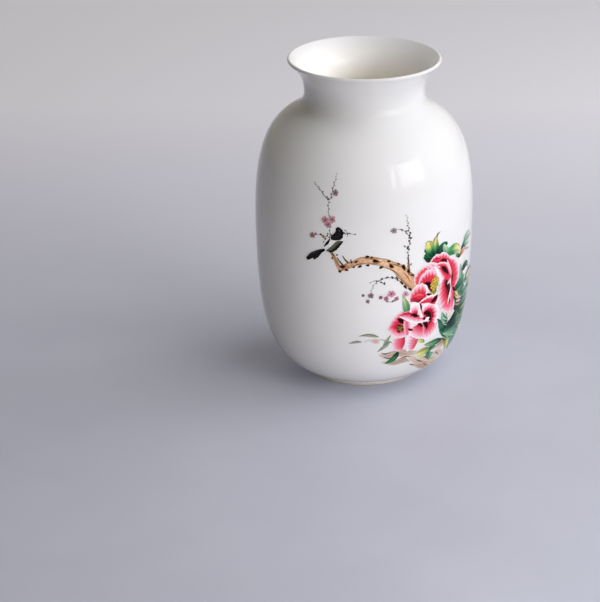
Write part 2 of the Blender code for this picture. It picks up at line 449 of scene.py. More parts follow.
def noise(tree, scale, detail=3.0):
    """Noise on the object's own coordinates."""
    place = tree.nodes.new("ShaderNodeTexCoord")
    texture = tree.nodes.new("ShaderNodeTexNoise")
    texture.inputs["Scale"].default_value = scale
    texture.inputs["Detail"].default_value = detail
    tree.links.new(place.outputs["Object"], texture.inputs["Vector"])
    return texture.outputs["Fac"]


def coordinate(tree, axis):
    """The object's own coordinate along one axis."""
    place = tree.nodes.new("ShaderNodeTexCoord")
    split = tree.nodes.new("ShaderNodeSeparateXYZ")
    tree.links.new(place.outputs["Object"], split.inputs["Vector"])
    return split.outputs[axis]


def calculated(tree, operation, first, second):
    """Two values joined by one operation."""
    node = tree.nodes.new("ShaderNodeMath")
    node.operation = operation
    tree.links.new(first, node.inputs[0])
    tree.links.new(second, node.inputs[1])
    return node.outputs["Value"]


def attribute(tree, name, output):
    """A value stored on the mesh's points."""
    node = tree.nodes.new("ShaderNodeAttribute")
    node.attribute_name = name
    return node.outputs[output]


def stretched(tree, value, low, high, to_low=0.0, to_high=1.0):
    """A value mapped from one range to another and held at its ends."""
    node = tree.nodes.new("ShaderNodeMapRange")
    node.inputs["From Min"].default_value = low
    node.inputs["From Max"].default_value = high
    node.inputs["To Min"].default_value = to_low
    node.inputs["To Max"].default_value = to_high
    tree.links.new(value, node.inputs["Value"])
    return node.outputs["Result"]


def mottled(tree, scale, low=0.0, high=1.0, detail=3.0):
    """Noise whose middle range runs from a low to a high value."""
    return stretched(tree, noise(tree, scale, detail), *NOISE_RANGE, low, high)


def mixed(tree, factor, first, second, blend="MIX"):
    """Two colours mixed by a factor. Each of the three is a socket or a plain value."""
    node = tree.nodes.new("ShaderNodeMix")
    node.data_type = "RGBA"
    node.blend_type = blend
    for place, value in zip(COLOUR_MIX_INPUTS, (factor, first, second)):
        socket = node.inputs[place]
        if isinstance(value, bpy.types.NodeSocket):
            tree.links.new(value, socket)
        else:
            socket.default_value = value if isinstance(value, float) else (*value, 1)
    return node.outputs[COLOUR_MIX_OUTPUT]


def bump(tree, shader, height, strength, distance):
    """A height felt as a fine bump of the surface."""
    node = tree.nodes.new("ShaderNodeBump")
    node.inputs["Strength"].default_value = strength
    node.inputs["Distance"].default_value = distance
    tree.links.new(height, node.inputs["Height"])
    tree.links.new(node.outputs["Normal"], shader.inputs["Normal"])


def glaze_material():
    """Clear glossy glaze on white porcelain, clouded very faintly, with the slow ripple of a dipped
    coat. Inside the vase its colour turns paler and warmer with depth: painted light for the light
    bounced about within it."""
    material, tree, shader = new_material("white_glaze", 0.07)
    clouds = stretched(tree, noise(tree, 14), 0.35, 0.65)
    white = mixed(tree, clouds, (0.865, 0.865, 0.86), (0.89, 0.89, 0.885))
    # Painted light: the colour deep inside the vase, paler and warmer, stands for light bounced about
    # within it
    inside = (0.95, 0.925, 0.87)
    colour = mixed(tree, attribute(tree, "depth", "Fac"), white, inside)
    tree.links.new(colour, shader.inputs["Base Color"])
    tree.links.new(mottled(tree, 40, 0.03, 0.06), shader.inputs["Roughness"])
    bump(tree, shader, noise(tree, 26, 2), 0.04, 0.002)
    return material


def biscuit_material():
    """Bare fired porcelain where the foot is wiped clean, with the glaze's edge just above the floor."""
    material, tree, shader = new_material("bare_biscuit", 0.75)
    grain = mottled(tree, 900, detail=4)
    bare = mixed(tree, grain, (0.60, 0.53, 0.43), (0.74, 0.68, 0.58))
    white = (0.80, 0.80, 0.785)
    glazed = stretched(tree, coordinate(tree, "Z"), *GLAZE_EDGE)
    tree.links.new(mixed(tree, glazed, bare, white), shader.inputs["Base Color"])
    tree.links.new(stretched(tree, glazed, 0, 1, 0.75, 0.1), shader.inputs["Roughness"])
    bump(tree, shader, grain, 0.25, 0.0002)
    return material


def slip_material():
    """Fired luting slip, matt and slightly grainy."""
    material, tree, shader = new_material("luting_slip", 0.8)
    grain = mottled(tree, 600, detail=4)
    colour = mixed(tree, grain, (0.72, 0.70, 0.64), (0.80, 0.78, 0.72))
    tree.links.new(colour, shader.inputs["Base Color"])
    bump(tree, shader, grain, 0.3, 0.0002)
    return material


def enamel_material():
    """Glossy overglaze enamel: the painted colour of each point, broken by fine brush streaks."""
    material, tree, shader = new_material("overglaze_enamel", 0.12)
    shader.inputs["Specular IOR Level"].default_value = 0.09
    streaks = mottled(tree, 700, 0.86, 1.08, 4)
    shade = mixed(tree, 1.0, attribute(tree, "paint", "Color"), streaks, "MULTIPLY")
    tree.links.new(shade, shader.inputs["Base Color"])
    tree.links.new(mottled(tree, 120, 0.08, 0.18), shader.inputs["Roughness"])
    bump(tree, shader, noise(tree, 900, 3), 0.08, 0.0002)
    return material


def build_body():
    """The vase itself: foot ring, three glazed sections and the slip between them."""
    glaze = glaze_material()
    slip = slip_material()
    foot_ring = turned("biscuit_foot_ring", foot_ring_profile())
    finish_piece(foot_ring, biscuit_material(), "biscuit", "foot_ring")
    lower_runs = underside_profile() + [lower_outline()] + WAIST.tongue() + floor_profile()
    upper_inside = inner_between(WAIST.high, NECK.high)[::-1]
    upper_runs = [upper_outline()] + NECK.tongue() + [upper_inside] + WAIST.skirt()
    lip_turn = math.degrees(LIP_SLOPE)
    lip_round = arc((LIP_RADIUS - LIP_WALL / 2, LIP_LEVEL), LIP_WALL / 2, lip_turn - 90, lip_turn + 90)
    mouth_inside = inner_between(NECK.high, INNER[-1, 1])[::-1]
    mouth_runs = [mouth_outline(), lip_round, mouth_inside] + NECK.skirt()
    sections = (("lower_body", lower_runs), ("upper_body", upper_runs), ("flared_mouth", mouth_runs))
    for node, runs in sections:
        section = turned("glazed_" + node, runs)
        mark_depth(section)
        finish_piece(section, glaze, "glaze", node)
    for place, joint in (("waist", WAIST), ("neck", NECK)):
        finish_piece(turned(place + "_slip_ring", joint.slip()), slip, "slip", place + "_joint_slip")
    foot_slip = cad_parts["foot_joint_slip"]
    foot_slip.data.materials.clear()
    foot_slip.data.materials.append(slip)


# Enamel colours, written as they look in daylight
WHITE = (255, 248, 250)
PALE = (250, 208, 218)
PINK = (246, 162, 184)
ROSE = (236, 104, 128)
CRIMSON = (218, 50, 76)
DEEP = (140, 12, 38)
DEEP_RED = (186, 18, 46)
MAROON = (44, 3, 14)
LEAF_DARK = (10, 54, 36)
LEAF_GREEN = (48, 128, 80)
LEAF_LIGHT = (126, 178, 108)
LEAF_TEAL = (50, 118, 98)
LEAF_YELLOW = (222, 218, 116)
BARK = (236, 192, 154)
BARK_BROWN = (160, 106, 66)
INK = (38, 24, 14)
BIRD_BLACK = (18, 16, 18)
MAUVE = (172, 108, 124)
PLUM_DARK = (82, 48, 58)
TWIG = (72, 60, 60)
STAMEN_OLIVE = (140, 138, 62)
BUD = (226, 178, 150)
BARE = (238, 238, 236)

# Tones of a petal from its base to its rim, and of a fold from its middle line to its edges
RED_PETAL = ((0, DEEP_RED), (0.16, CRIMSON), (0.48, (230, 62, 82)), (0.62, ROSE), (0.76, PINK),
             (0.88, PALE), (1, WHITE))
HOLLOW = ((0, (24, 3, 10)), (0.45, MAROON), (0.75, DEEP), (1, CRIMSON))

# Tones of the stamens, and those of bark flecks and of buds, which take turns
STAMEN_TONES = ((0, (140, 122, 40)), (0.35, (206, 202, 116)), (0.65, (238, 210, 76)), (1, (240, 160, 54)))
FLECK_TONES = ((246, 218, 188), (204, 152, 112), (218, 170, 132))
BUD_TONES = ((66, 48, 54), (78, 66, 66), (114, 100, 102))

# Tones of a leaf from its stalk to its tip
GREEN_LEAF = ((0, LEAF_DARK), (0.4, LEAF_GREEN), (0.8, (58, 142, 88)), (1, LEAF_DARK))
TIP_LEAF = ((0, LEAF_DARK), (0.16, (14, 66, 42)), (0.3, LEAF_GREEN), (0.46, LEAF_LIGHT),
            (0.6, LEAF_YELLOW), (1, (246, 240, 176)))
WING_LEAF = ((0, (126, 182, 132)), (0.14, (76, 158, 104)), (0.34, (70, 152, 98)), (0.46, (166, 200, 128)),
             (0.56, (228, 224, 132)), (0.8, (242, 238, 190)), (1, (250, 244, 228)))
FAN_LEAF = ((0, LEAF_DARK), (0.3, (18, 76, 50)), (0.7, (36, 112, 72)), (1, (18, 66, 48)))
MISTY_LEAF = ((0, LEAF_DARK), (0.2, (66, 126, 84)), (0.55, (120, 168, 124)), (1, (176, 196, 158)))
SPRING_LEAF = ((0, (92, 148, 104)), (0.35, (148, 188, 138)), (0.7, (222, 224, 164)), (1, (112, 142, 98)))
FROST_LEAF = ((0, (76, 120, 100)), (0.25, (150, 184, 162)), (0.6, (198, 212, 198)), (1, (214, 222, 208)))
EDGE_LEAF = ((0.1, LEAF_DARK), (0.24, (46, 98, 78)), (0.5, (104, 152, 124)), (1, (166, 192, 166)))
MINT_LEAF = ((0, (40, 100, 80)), (0.3, (96, 158, 124)), (0.6, (150, 194, 162)), (1, (130, 172, 146)))
SHADE_LEAF = ((0, LEAF_DARK), (0.5, (10, 46, 36)), (0.75, (16, 66, 46)), (1, LEAF_GREEN))
FOLD_LEAF = ((0, LEAF_LIGHT), (0.24, (100, 160, 130)), (0.42, (14, 56, 44)), (0.56, (12, 52, 42)),
             (0.74, (34, 112, 74)), (1, (70, 148, 104)))
TEAL_LEAF = ((0, LEAF_DARK), (0.4, LEAF_TEAL), (0.8, (36, 104, 84)), (1, LEAF_DARK))
RISING_LEAF = ((0, (18, 48, 44)), (0.4, (52, 112, 92)), (1, (130, 184, 156)))
MIST_LEAF = ((0, (50, 106, 88)), (0.4, (96, 160, 130)), (0.75, (136, 184, 158)), (1, (204, 220, 208)))
OCHRE_LEAF = ((0, (136, 160, 92)), (0.3, (208, 210, 118)), (0.65, (238, 232, 150)), (1, (244, 236, 180)))
PALE_LEAF = ((0, (196, 146, 116)), (0.3, (230, 200, 180)), (0.6, (236, 228, 222)), (1, (224, 232, 236)))
DULL_LEAF = ((0, (150, 160, 138)), (0.5, (168, 176, 156)), (1, (136, 144, 134)))


def linear(colour):
    """Written colours of 0 to 255 as linear light, by the sRGB curve."""
    c = np.asarray(colour, float) / 255
    return np.where(c <= 0.04045, c / 12.92, ((c + 0.055) / 1.055) ** 2.4)


def ramp(amount, tones):
    """Colours read between (place, colour) stops."""
    places = [place for place, _ in tones]
    colours = np.array([colour for _, colour in tones], float)
    return np.stack([np.interp(amount, places, colours[:, k]) for k in range(3)], -1)


def path_length(points):
    """Length of a line of points."""
    return float(np.linalg.norm(np.diff(np.asarray(points, float), axis=0), axis=1).sum())


def steps_for(length):
    """How many points a length of drawing gets."""
    return max(4, int(length / PATCH_STEP) + 2)


def smooth_path(points, count):
    """A curve through the points: a Catmull-Rom spline, then spaced evenly along its own length."""
    p = np.asarray(points, float)
    ends = np.vstack([2 * p[0] - p[1], p, 2 * p[-1] - p[-2]])
    t = np.linspace(0, len(p) - 1, SPLINE_STEPS * len(p))
    i = np.minimum(t.astype(int), len(p) - 2)
    f = (t - i)[:, None]
    a, b, c, d = ends[i], ends[i + 1], ends[i + 2], ends[i + 3]
    fine = 0.5 * (2 * b + (c - a) * f + (2 * a - 5 * b + 4 * c - d) * f**2
                  + (3 * b - a - 3 * c + d) * f**3)
    along = np.concatenate([[0], np.cumsum(np.linalg.norm(np.diff(fine, axis=0), axis=1))])
    even = np.linspace(0, along[-1], count)
    return np.stack([np.interp(even, along, fine[:, k]) for k in range(2)], 1)


class Painting:
    """One painted group: patches of enamel laid over each other on the outer wall.

    A patch is a grid of drawing points (x, z). A point goes round the wall by the angle x over the
    widest radius, up to the height z, and off the wall along its normal by a lift that grows from patch
    to patch."""

    def __init__(self, name, lift=FIRST_LIFT):
        self.name = name
        self.lift = lift
        self.points, self.normals, self.colours, self.faces = [], [], [], []
        self.count = 0

    def lay(self, grid, colours):
        """Adds a patch: a grid of points, turned so that it faces outwards, and its written colours."""
        a, b, c, d = grid[:-1, :-1], grid[:-1, 1:], grid[1:, 1:], grid[1:, :-1]
        first, second = c - a, d - b
        if (first[..., 0] * second[..., 1] - first[..., 1] * second[..., 0]).sum() < 0:
            grid, colours = grid[:, ::-1], colours[:, ::-1]
        angle = grid[..., 0] / MM_PER_METRE / BELLY_RADIUS
        height = grid[..., 1] / MM_PER_METRE
        lift = self.lift / MM_PER_METRE
        radius, outward, upward = (np.interp(height, OUTLINE[:, 1], OUTLINE[:, k]) for k in (0, 2, 3))
        reach = radius + lift * outward
        points = np.stack([reach * np.sin(angle), -reach * np.cos(angle), height + lift * upward], -1)
        normals = np.stack([outward * np.sin(angle), -outward * np.cos(angle), upward], -1)
        rows, columns = angle.shape
        index = self.count + np.arange(rows * columns).reshape(rows, columns)
        quads = np.stack([index[:-1, :-1], index[:-1, 1:], index[1:, 1:], index[1:, :-1]], -1)
        self.points.append(points.reshape(-1, 3))
        self.normals.append(normals.reshape(-1, 3))
        self.colours.append(np.clip(colours, 0, 255).reshape(-1, 3))
        self.faces.append(quads.reshape(-1, 4))
        self.count += rows * columns
        self.lift += LAYER_STEP

    def finish(self, material):
        """Makes the group one piece with its colours stored on its points."""
        faces = np.vstack(self.faces)
        normals = np.vstack(self.normals)[faces.ravel()]
        piece = new_piece(self.name, np.vstack(self.points), faces.tolist(), normals)
        paint = np.ones((self.count, 4))
        paint[:, :3] = linear(np.vstack(self.colours))
        layer = piece.data.color_attributes.new("paint", "FLOAT_COLOR", "POINT")
        layer.data.foreach_set("color", paint.ravel())
        return finish_piece(piece, material, "enamel")


def two_waves(u, phase, coarse, fine, share, shift):
    """A coarse sine wave along u, and a share of a finer one that starts at another phase."""
    whole = 2 * np.pi
    return np.sin(whole * (coarse * u + phase)) + share * np.sin(whole * (fine * u + shift * phase))


def petal(painting, base, rim, tones, veining=PETAL_VEINING):
    """A petal lofted from its base line to its rim line, which is scalloped by two sine waves that die
    out at its ends. Its tone is read at v, 0 at the base and 1 at the rim, shifted by finer waves that
    are strongest half way, so that veins run outwards."""
    columns = steps_for(path_length(rim))
    first, last = smooth_path(base, columns), smooth_path(rim, columns)
    rows = steps_for(np.linalg.norm(last - first, axis=1).max())
    v = np.linspace(0, 1, rows)[:, None]
    u = np.linspace(0, 1, columns)[None]
    phase = base[0][0]
    reach = v * (1 + PETAL_FRILL * v * two_waves(u, phase, *SCALLOP_WAVES) * np.sin(np.pi * u))
    grid = first + (last - first) * reach[..., None]
    painting.lay(grid, ramp(v + veining * two_waves(u, phase, *VEIN_WAVES) * 4 * v * (1 - v), tones))


def ribbon(path, widths):
    """A band along a path, as wide as the widths along it say: its grid, with u along it and v across it
    from -1 to 1."""
    rows = steps_for(path_length(path))
    line = smooth_path(path, rows)
    step = np.gradient(line, axis=0)
    length = np.linalg.norm(step, axis=1, keepdims=True)
    across = np.stack([-step[:, 1], step[:, 0]], 1) / length
    u = np.linspace(0, 1, rows)[:, None]
    v = np.linspace(-1, 1, steps_for(max(widths)) | 1)[None]
    half = np.interp(u, np.linspace(0, 1, len(widths)), widths) / 2
    return line[:, None] + across[:, None] * (half * v)[..., None], u, v


def stroke(painting, path, widths, tones, edge=0.0):
    """A brush stroke toned from its start to its end, whose edges can be darker."""
    grid, u, v = ribbon(path, widths)
    painting.lay(grid, ramp(u, tones) * (1 - edge * np.abs(v[..., None]) ** 3))


def hollow(painting, path, widths, tones=HOLLOW):
    """A dark fold between petals, toned from its middle line to its edges."""
    grid, u, v = ribbon(path, widths)
    painting.lay(grid, ramp(np.abs(v) + 0 * u, tones))


def leaf(painting, spine, widths, tones):
    """A leaf along its spine from stalk to tip. The edges are notched by a saw wave, the midrib,
    slanting side veins and the margin are paler, and one half is darker."""
    grid, u, v = ribbon(spine, widths)
    side, swell = np.abs(v), np.sin(np.pi * u)
    saw = TOOTH_DEPTH * ((LEAF_VEINS * TEETH_PER_VEIN * u) % 1) * swell * side
    middle = grid[:, grid.shape[1] // 2][:, None]
    grid = middle + (grid - middle) * (1 + saw)[..., None]
    tone = ramp(u - TONE_LAG * side + STREAK_STRENGTH * np.sin(STREAK_COUNT * np.pi * v), tones)
    crest = np.clip(np.cos(2 * np.pi * (LEAF_VEINS * u - VEIN_SLANT * side)), 0, 1)
    veins = VEIN_PALENESS * crest**VEIN_SHARPNESS * (0.3 + 0.7 * side) * swell
    midrib = MIDRIB_PALENESS * np.exp(-((side / MIDRIB_WIDTH) ** 2))
    margin = MARGIN_PALENESS * side**MARGIN_SHARPNESS
    pale = np.clip(veins + midrib + margin, 0, 1)[..., None]
    lighter = 0.6 * tone + 0.5 * np.array(LEAF_LIGHT)
    shade = (1 - HALF_SHADE * (v < 0))[..., None]
    painting.lay(grid, (tone * (1 - pale) + lighter * pale) * shade)


def blot(painting, centre, size, tones, turn=0.0):
    """A touch of the brush: a square grid pressed into an ellipse by x = u sqrt(1 - v v / 2) and the
    same for z, a little uneven round its edge, toned from its middle to its edge."""
    count = max(5, steps_for(2 * max(size)))
    u, v = np.meshgrid(np.linspace(-1, 1, count), np.linspace(-1, 1, count))
    x, z = u * np.sqrt(1 - v * v / 2), v * np.sqrt(1 - u * u / 2)
    distance = np.hypot(x, z)
    uneven = 1 + BLOT_UNEVENNESS * distance * np.sin(3 * np.arctan2(z, x) + 5 * centre[0] + 3 * centre[1])
    a = math.radians(turn)
    along, up = size[0] * x * uneven, size[1] * z * uneven
    grid = np.stack([centre[0] + along * math.cos(a) - up * math.sin(a),
                     centre[1] + along * math.sin(a) + up * math.cos(a)], -1)
    painting.lay(grid, ramp(distance, tones))


def side_by_side(painting, brush, marks):
    """Marks of one brush that lie beside each other, so that each starts at the same lift."""
    start = painting.lift
    for mark in marks:
        painting.lift = start
        brush(painting, *mark)


def plain(colour):
    """One colour as a pair of stops."""
    return ((0, colour), (1, colour))


def fading(colour, edge):
    """Stops from a colour at the middle or start to another at the edge or end."""
    return ((0, colour), (0.55, colour), (1, edge))


def upper_back_petals(flower):
    """The right-hand and top petals of the upper peony."""
    petal(flower, [(83, 130), (86.5, 123.5), (89.5, 117), (90.5, 110), (91.5, 101)],
          [(84, 131.5), (90.5, 130.5), (96.5, 127), (101, 121.5), (103.8, 114.5), (104, 107.5),
           (98.5, 100.8)], RED_PETAL)
    hollow(flower, [(90.4, 116.5), (91.8, 111.8), (91.4, 107)], [0.8, 3.6, 0.8])
    petal(flower, [(61.5, 132.4), (67, 131), (72, 130.6), (77, 129.6), (82, 128.4), (85.5, 130)],
          [(60.5, 133.6), (64, 137.4), (68, 139.8), (72, 139.3), (76.5, 139.8), (80, 138.8), (83.5, 136),
           (86.5, 131.6)], RED_PETAL, veining=0.09)
    hollow(flower, [(73.5, 132.4), (78.6, 131.8), (84, 129)], [0.8, 3.6, 3.0, 0.6])
    stroke(flower, [(64, 134), (68, 136), (73, 135)], [0.3, 1.6, 0.4], plain(DEEP_RED))


def upper_left_petals(flower):
    """The left-hand petals of the upper peony."""
    petal(flower, [(51, 114.5), (52.5, 120), (56, 124), (61, 126.5), (66, 127)],
          [(45.6, 114.6), (44.2, 119.5), (46, 124.5), (50.5, 128.8), (57, 131.2), (64, 132.2)],
          ((0, ROSE), (0.3, ROSE), (0.62, (228, 60, 66)), (0.8, PINK), (0.93, PALE), (1, WHITE)),
          veining=0.08)
    petal(flower, [(60, 126.5), (66, 126), (71, 125.5)],
          [(55.5, 131), (60, 133.8), (65, 133), (71.5, 130)],
          ((0, PINK), (0.3, PALE), (0.6, (238, 190, 204)), (1, WHITE)), veining=0.14)
    for path in ([(57.5, 130.6), (60, 129), (61.5, 126.5)], [(63, 131.6), (65, 129.4), (66, 126.6)]):
        stroke(flower, path, [0.3, 1.2, 0.4], plain((206, 140, 168)))
    petal(flower, [(55, 113.5), (59, 110.5), (63, 107.5), (66.5, 112)],
          [(49, 115.3), (50.6, 121), (54.4, 125), (59.5, 127.2), (64.5, 126.6), (68.6, 123), (70.8, 118)],
          ((0, MAROON), (0.16, MAROON), (0.27, DEEP), (0.38, CRIMSON), (0.66, (222, 58, 80)), (0.8, PINK),
           (0.91, PALE), (1, (246, 220, 230))), veining=0.08)
    hollow(flower, [(55.5, 114.8), (60.5, 112.6), (63.6, 108.5), (64.6, 104)], [1.2, 5.4, 6.4, 6.0, 2.0])
    hollow(flower, [(58.5, 104), (61.5, 102), (66, 101.8)], [1.0, 3.4, 0.8])
    petal(flower, [(42, 99), (46, 98.2), (50, 96.8), (54, 98.3), (58, 101)],
          [(40.8, 99.5), (40.7, 105), (42.5, 109.8), (46, 113.5), (50, 115.2), (54, 114.6), (57.3, 112),
           (59.3, 108.5), (59.5, 104.5)],
          ((0, DEEP), (0.08, DEEP), (0.18, CRIMSON), (0.48, CRIMSON), (0.62, (230, 78, 96)), (0.76, PINK),
           (0.89, PALE), (1, WHITE)), veining=0.07)
    hollow(flower, [(44.5, 103), (49.5, 104.6), (55, 103)], [0.6, 3.4, 0.8],
           ((0, (248, 118, 110)), (0.5, (240, 84, 84)), (1, CRIMSON)))
    hollow(flower, [(42.4, 101), (46.5, 101), (51, 98.6)], [0.5, 2.2, 0.6], ((0, DEEP), (1, CRIMSON)))
    stroke(flower, [(55.5, 113.8), (57.8, 110.8), (58.6, 107), (57.8, 103.5)], [0.6, 2.2, 2.2, 0.8],
           plain(WHITE))


def upper_cup(flower):
    """The deep cup at the upper peony's middle, with a broad white fold at its left."""
    petal(flower, [(75, 126), (78, 124.5), (81, 121.5), (84, 118)],
          [(67, 130.3), (73, 131), (78, 130), (82, 127.8), (85.5, 122.8), (88.5, 116.5)], RED_PETAL)
    petal(flower, [(80, 120), (83, 117.5), (86, 117.5)],
          [(77, 110), (82, 109), (87, 109.6), (90.4, 112.5)],
          ((0, DEEP), (0.2, CRIMSON), (0.75, (230, 66, 86)), (1, ROSE)))
    petal(flower, [(74, 125.5), (77.5, 122.5), (80.5, 119.5), (84, 117)],
          [(64.5, 128.8), (68.2, 124.6), (70.2, 119.4), (72.6, 114), (74.6, 109.4)],
          ((0, MAROON), (0.1, CRIMSON), (0.32, (230, 66, 86)), (0.46, PINK), (0.58, PALE),
           (0.7, WHITE), (1, WHITE)))
    hollow(flower, [(75, 126.4), (78.6, 123.4), (82, 120), (85, 116.6)], [0.8, 5.2, 5.8, 4.0, 0.8])
    stroke(flower, [(82.5, 130.8), (86, 124), (88.8, 118), (90.2, 113)], [0.8, 1.8, 1.6, 0.6],
           fading(PALE, PINK))


def upper_front_petals(flower):
    """The upper peony's hanging front petals, the fold between them and the petal under the stamens."""
    petal(flower, [(82, 110), (85.5, 107.5), (89, 102), (88.8, 95)],
          [(76, 113), (73.4, 106), (72.4, 98), (73.4, 91), (75.8, 86.8), (80.5, 83.6), (88, 83)],
          ((0, MAROON), (0.18, MAROON), (0.3, DEEP), (0.42, CRIMSON), (0.54, (234, 62, 78)), (0.66, ROSE),
           (0.79, PINK), (0.91, PALE), (1, WHITE)))
    petal(flower, [(83.5, 88.5), (88, 88), (91.5, 86.5)],
          [(76.6, 84.4), (81, 81), (86, 78), (91.6, 75), (97.4, 72)],
          ((0, (234, 84, 108)), (0.4, (238, 100, 126)), (0.7, (246, 150, 170)), (0.9, PALE), (1, WHITE)))
    petal(flower, [(89.8, 102.5), (89.4, 96), (90, 91), (91, 86)],
          [(95, 102), (96.2, 96), (96.6, 91), (96.8, 86.5)],
          ((0, PALE), (0.2, PINK), (0.4, ROSE), (0.8, (230, 76, 100)), (1, (188, 44, 68))))
    petal(flower, [(90.6, 88), (93.8, 88), (96.8, 88)], [(91, 77.4), (94, 74), (97.2, 72)],
          ((0, (234, 88, 112)), (0.3, (240, 116, 140)), (0.6, PINK), (0.85, PALE), (1, WHITE)),
          veining=0.1)
    stroke(flower, [(90, 101.5), (88.9, 95), (87.8, 90), (87.4, 85.5)], [0.7, 1.7, 2.0, 0.8],
           fading(WHITE, PALE))
    hollow(flower, [(82, 111.6), (83.6, 107), (85.8, 102.4), (86.6, 98)], [1.6, 6.4, 7.8, 6.0, 1.2])
    hollow(flower, [(92.4, 101), (95.8, 98), (99.6, 95.2)], [0.8, 3.6, 4.0, 0.8])
    hollow(flower, [(89.4, 92), (89.8, 88.6), (89, 85)], [0.5, 2.2, 0.5])
    blot(flower, (85.7, 107.8), (1.9, 1.5), ((0, WHITE), (0.5, PALE), (1, PINK)), turn=30)
    petal(flower, [(53, 95.2), (57, 94.8), (61.5, 94), (65.5, 91.8), (70, 90.4)],
          [(50.5, 96.6), (55, 99.6), (61, 101.4), (66.5, 101.4), (72, 100)],
          ((0, ROSE), (0.1, CRIMSON), (0.5, CRIMSON), (0.64, ROSE), (0.76, PALE),
           (0.86, WHITE), (1, WHITE)))
    hollow(flower, [(63.4, 93.8), (68, 95.8), (71.4, 99.8)], [0.8, 5.0, 5.4, 1.2])
    stroke(flower, [(69, 90.8), (72.6, 93.8), (75, 97)], [1.0, 2.6, 0.8], plain(WHITE))


def paint_stamens(flower):
    """The upright tuft of stamens: dabs in a sunflower pattern on an olive ground, more orange above and
    to the left."""
    hollow(flower, [(66.6, 101), (67, 105), (67.4, 112), (68.8, 118.6)], [2.0, 5.8, 8.0, 6.0, 1.5],
           ((0, STAMEN_OLIVE), (0.6, (170, 132, 44)), (1, (130, 40, 30))))
    marks = []
    for k in range(STAMEN_COUNT):
        turn, reach = GOLDEN_TURN * k, math.sqrt(k / (STAMEN_COUNT - 2))
        x, z = (4.2 + 1.3 * math.sin(3 * turn)) * reach * math.cos(turn), 9 * reach * math.sin(turn)
        warmth = np.clip(0.46 + 0.045 * z - 0.05 * x + (-0.25, 0.3, 0)[k % 3], 0, 1)
        tone = ramp(warmth, STAMEN_TONES)
        centre = (STAMEN_MIDDLE[0] + x + 0.1 * z, STAMEN_MIDDLE[1] + z)
        marks.append((centre, (0.8, 1.3), fading(tone, 0.8 * tone), 60 * k))
    side_by_side(flower, blot, marks)


def paint_side_stamens(flower):
    """The small round tuft of the third peony."""
    blot(flower, (32.8, 73.6), (4.0, 4.4), ((0, (60, 36, 16)), (0.7, MAROON), (1, CRIMSON)))
    marks = []
    for k in range(SIDE_STAMEN_COUNT):
        turn, reach = ROUGH_GOLDEN_TURN * k, k**0.5
        centre = (32.6 + 0.75 * reach * math.sin(turn), 73.4 + 0.9 * reach * math.cos(turn))
        tone = (STAMEN_OLIVE, (186, 168, 60))[k % 2]
        marks.append((centre, (0.8, 0.6), fading(tone, (96, 84, 40)), 50 * k))
    side_by_side(flower, blot, marks)


def paint_upper_peony(enamel):
    """The large open peony at the upper right, from its back petals to its front ones."""
    flower = Painting("peony_upper", lift=0.45)
    upper_back_petals(flower)
    upper_left_petals(flower)
    upper_cup(flower)
    paint_stamens(flower)
    upper_front_petals(flower)
    flower.finish(enamel)


def lower_petals(flower):
    """The round outer petals of the lower peony and the fold inside them."""
    petal(flower, [(60.5, 73), (63.5, 74), (66, 76)],
          [(59, 58.3), (64.5, 56.6), (70, 58.6), (75, 63.5), (76.8, 70), (74.5, 76)],
          ((0, MAROON), (0.1, DEEP), (0.2, CRIMSON), (0.38, (234, 78, 100)), (0.54, ROSE), (0.7, PINK),
           (0.86, PALE), (1, WHITE)))
    petal(flower, [(52, 74.5), (56, 73), (59.5, 72)],
          [(41.6, 71), (43.6, 65.5), (48.5, 61), (54, 58.6), (59.5, 57.4)],
          ((0, MAROON), (0.08, DEEP), (0.2, CRIMSON), (0.46, ROSE), (0.68, PINK),
           (0.86, PALE), (1, WHITE)), veining=0.1)
    stroke(flower, [(57.4, 73.4), (58.2, 67.5), (59.6, 60)], [0.5, 1.7, 1.5, 0.5],
           fading(PINK, (252, 226, 234)))
    petal(flower, [(57, 79), (59.5, 85), (63, 85), (65.5, 80.5), (64.5, 76)],
          [(54.5, 91.5), (58.5, 95), (63.5, 95.2), (68.5, 92.8), (73, 88.4), (76.2, 82), (75.8, 76),
           (73, 70)],
          ((0, MAROON), (0.12, MAROON), (0.2, DEEP), (0.3, CRIMSON), (0.42, ROSE), (0.54, PINK),
           (0.67, PALE), (0.8, WHITE), (1, WHITE)))
    hollow(flower, [(56.6, 85), (59.8, 84.4), (62.6, 82.4), (64.6, 79.4), (64, 75.4)],
           [1.8, 5.8, 7.6, 6.2, 3.6, 1.0])
    petal(flower, [(44.5, 85.5), (47, 84.5), (49.5, 85.5)],
          [(41.4, 89), (41.2, 95.5), (45, 98.9), (48.5, 98.3), (51, 94.5), (51.5, 91)],
          ((0, MAROON), (0.1, DEEP), (0.2, CRIMSON), (0.34, ROSE), (0.44, PINK), (0.56, PALE),
           (0.7, WHITE), (1, WHITE)), veining=0.08)


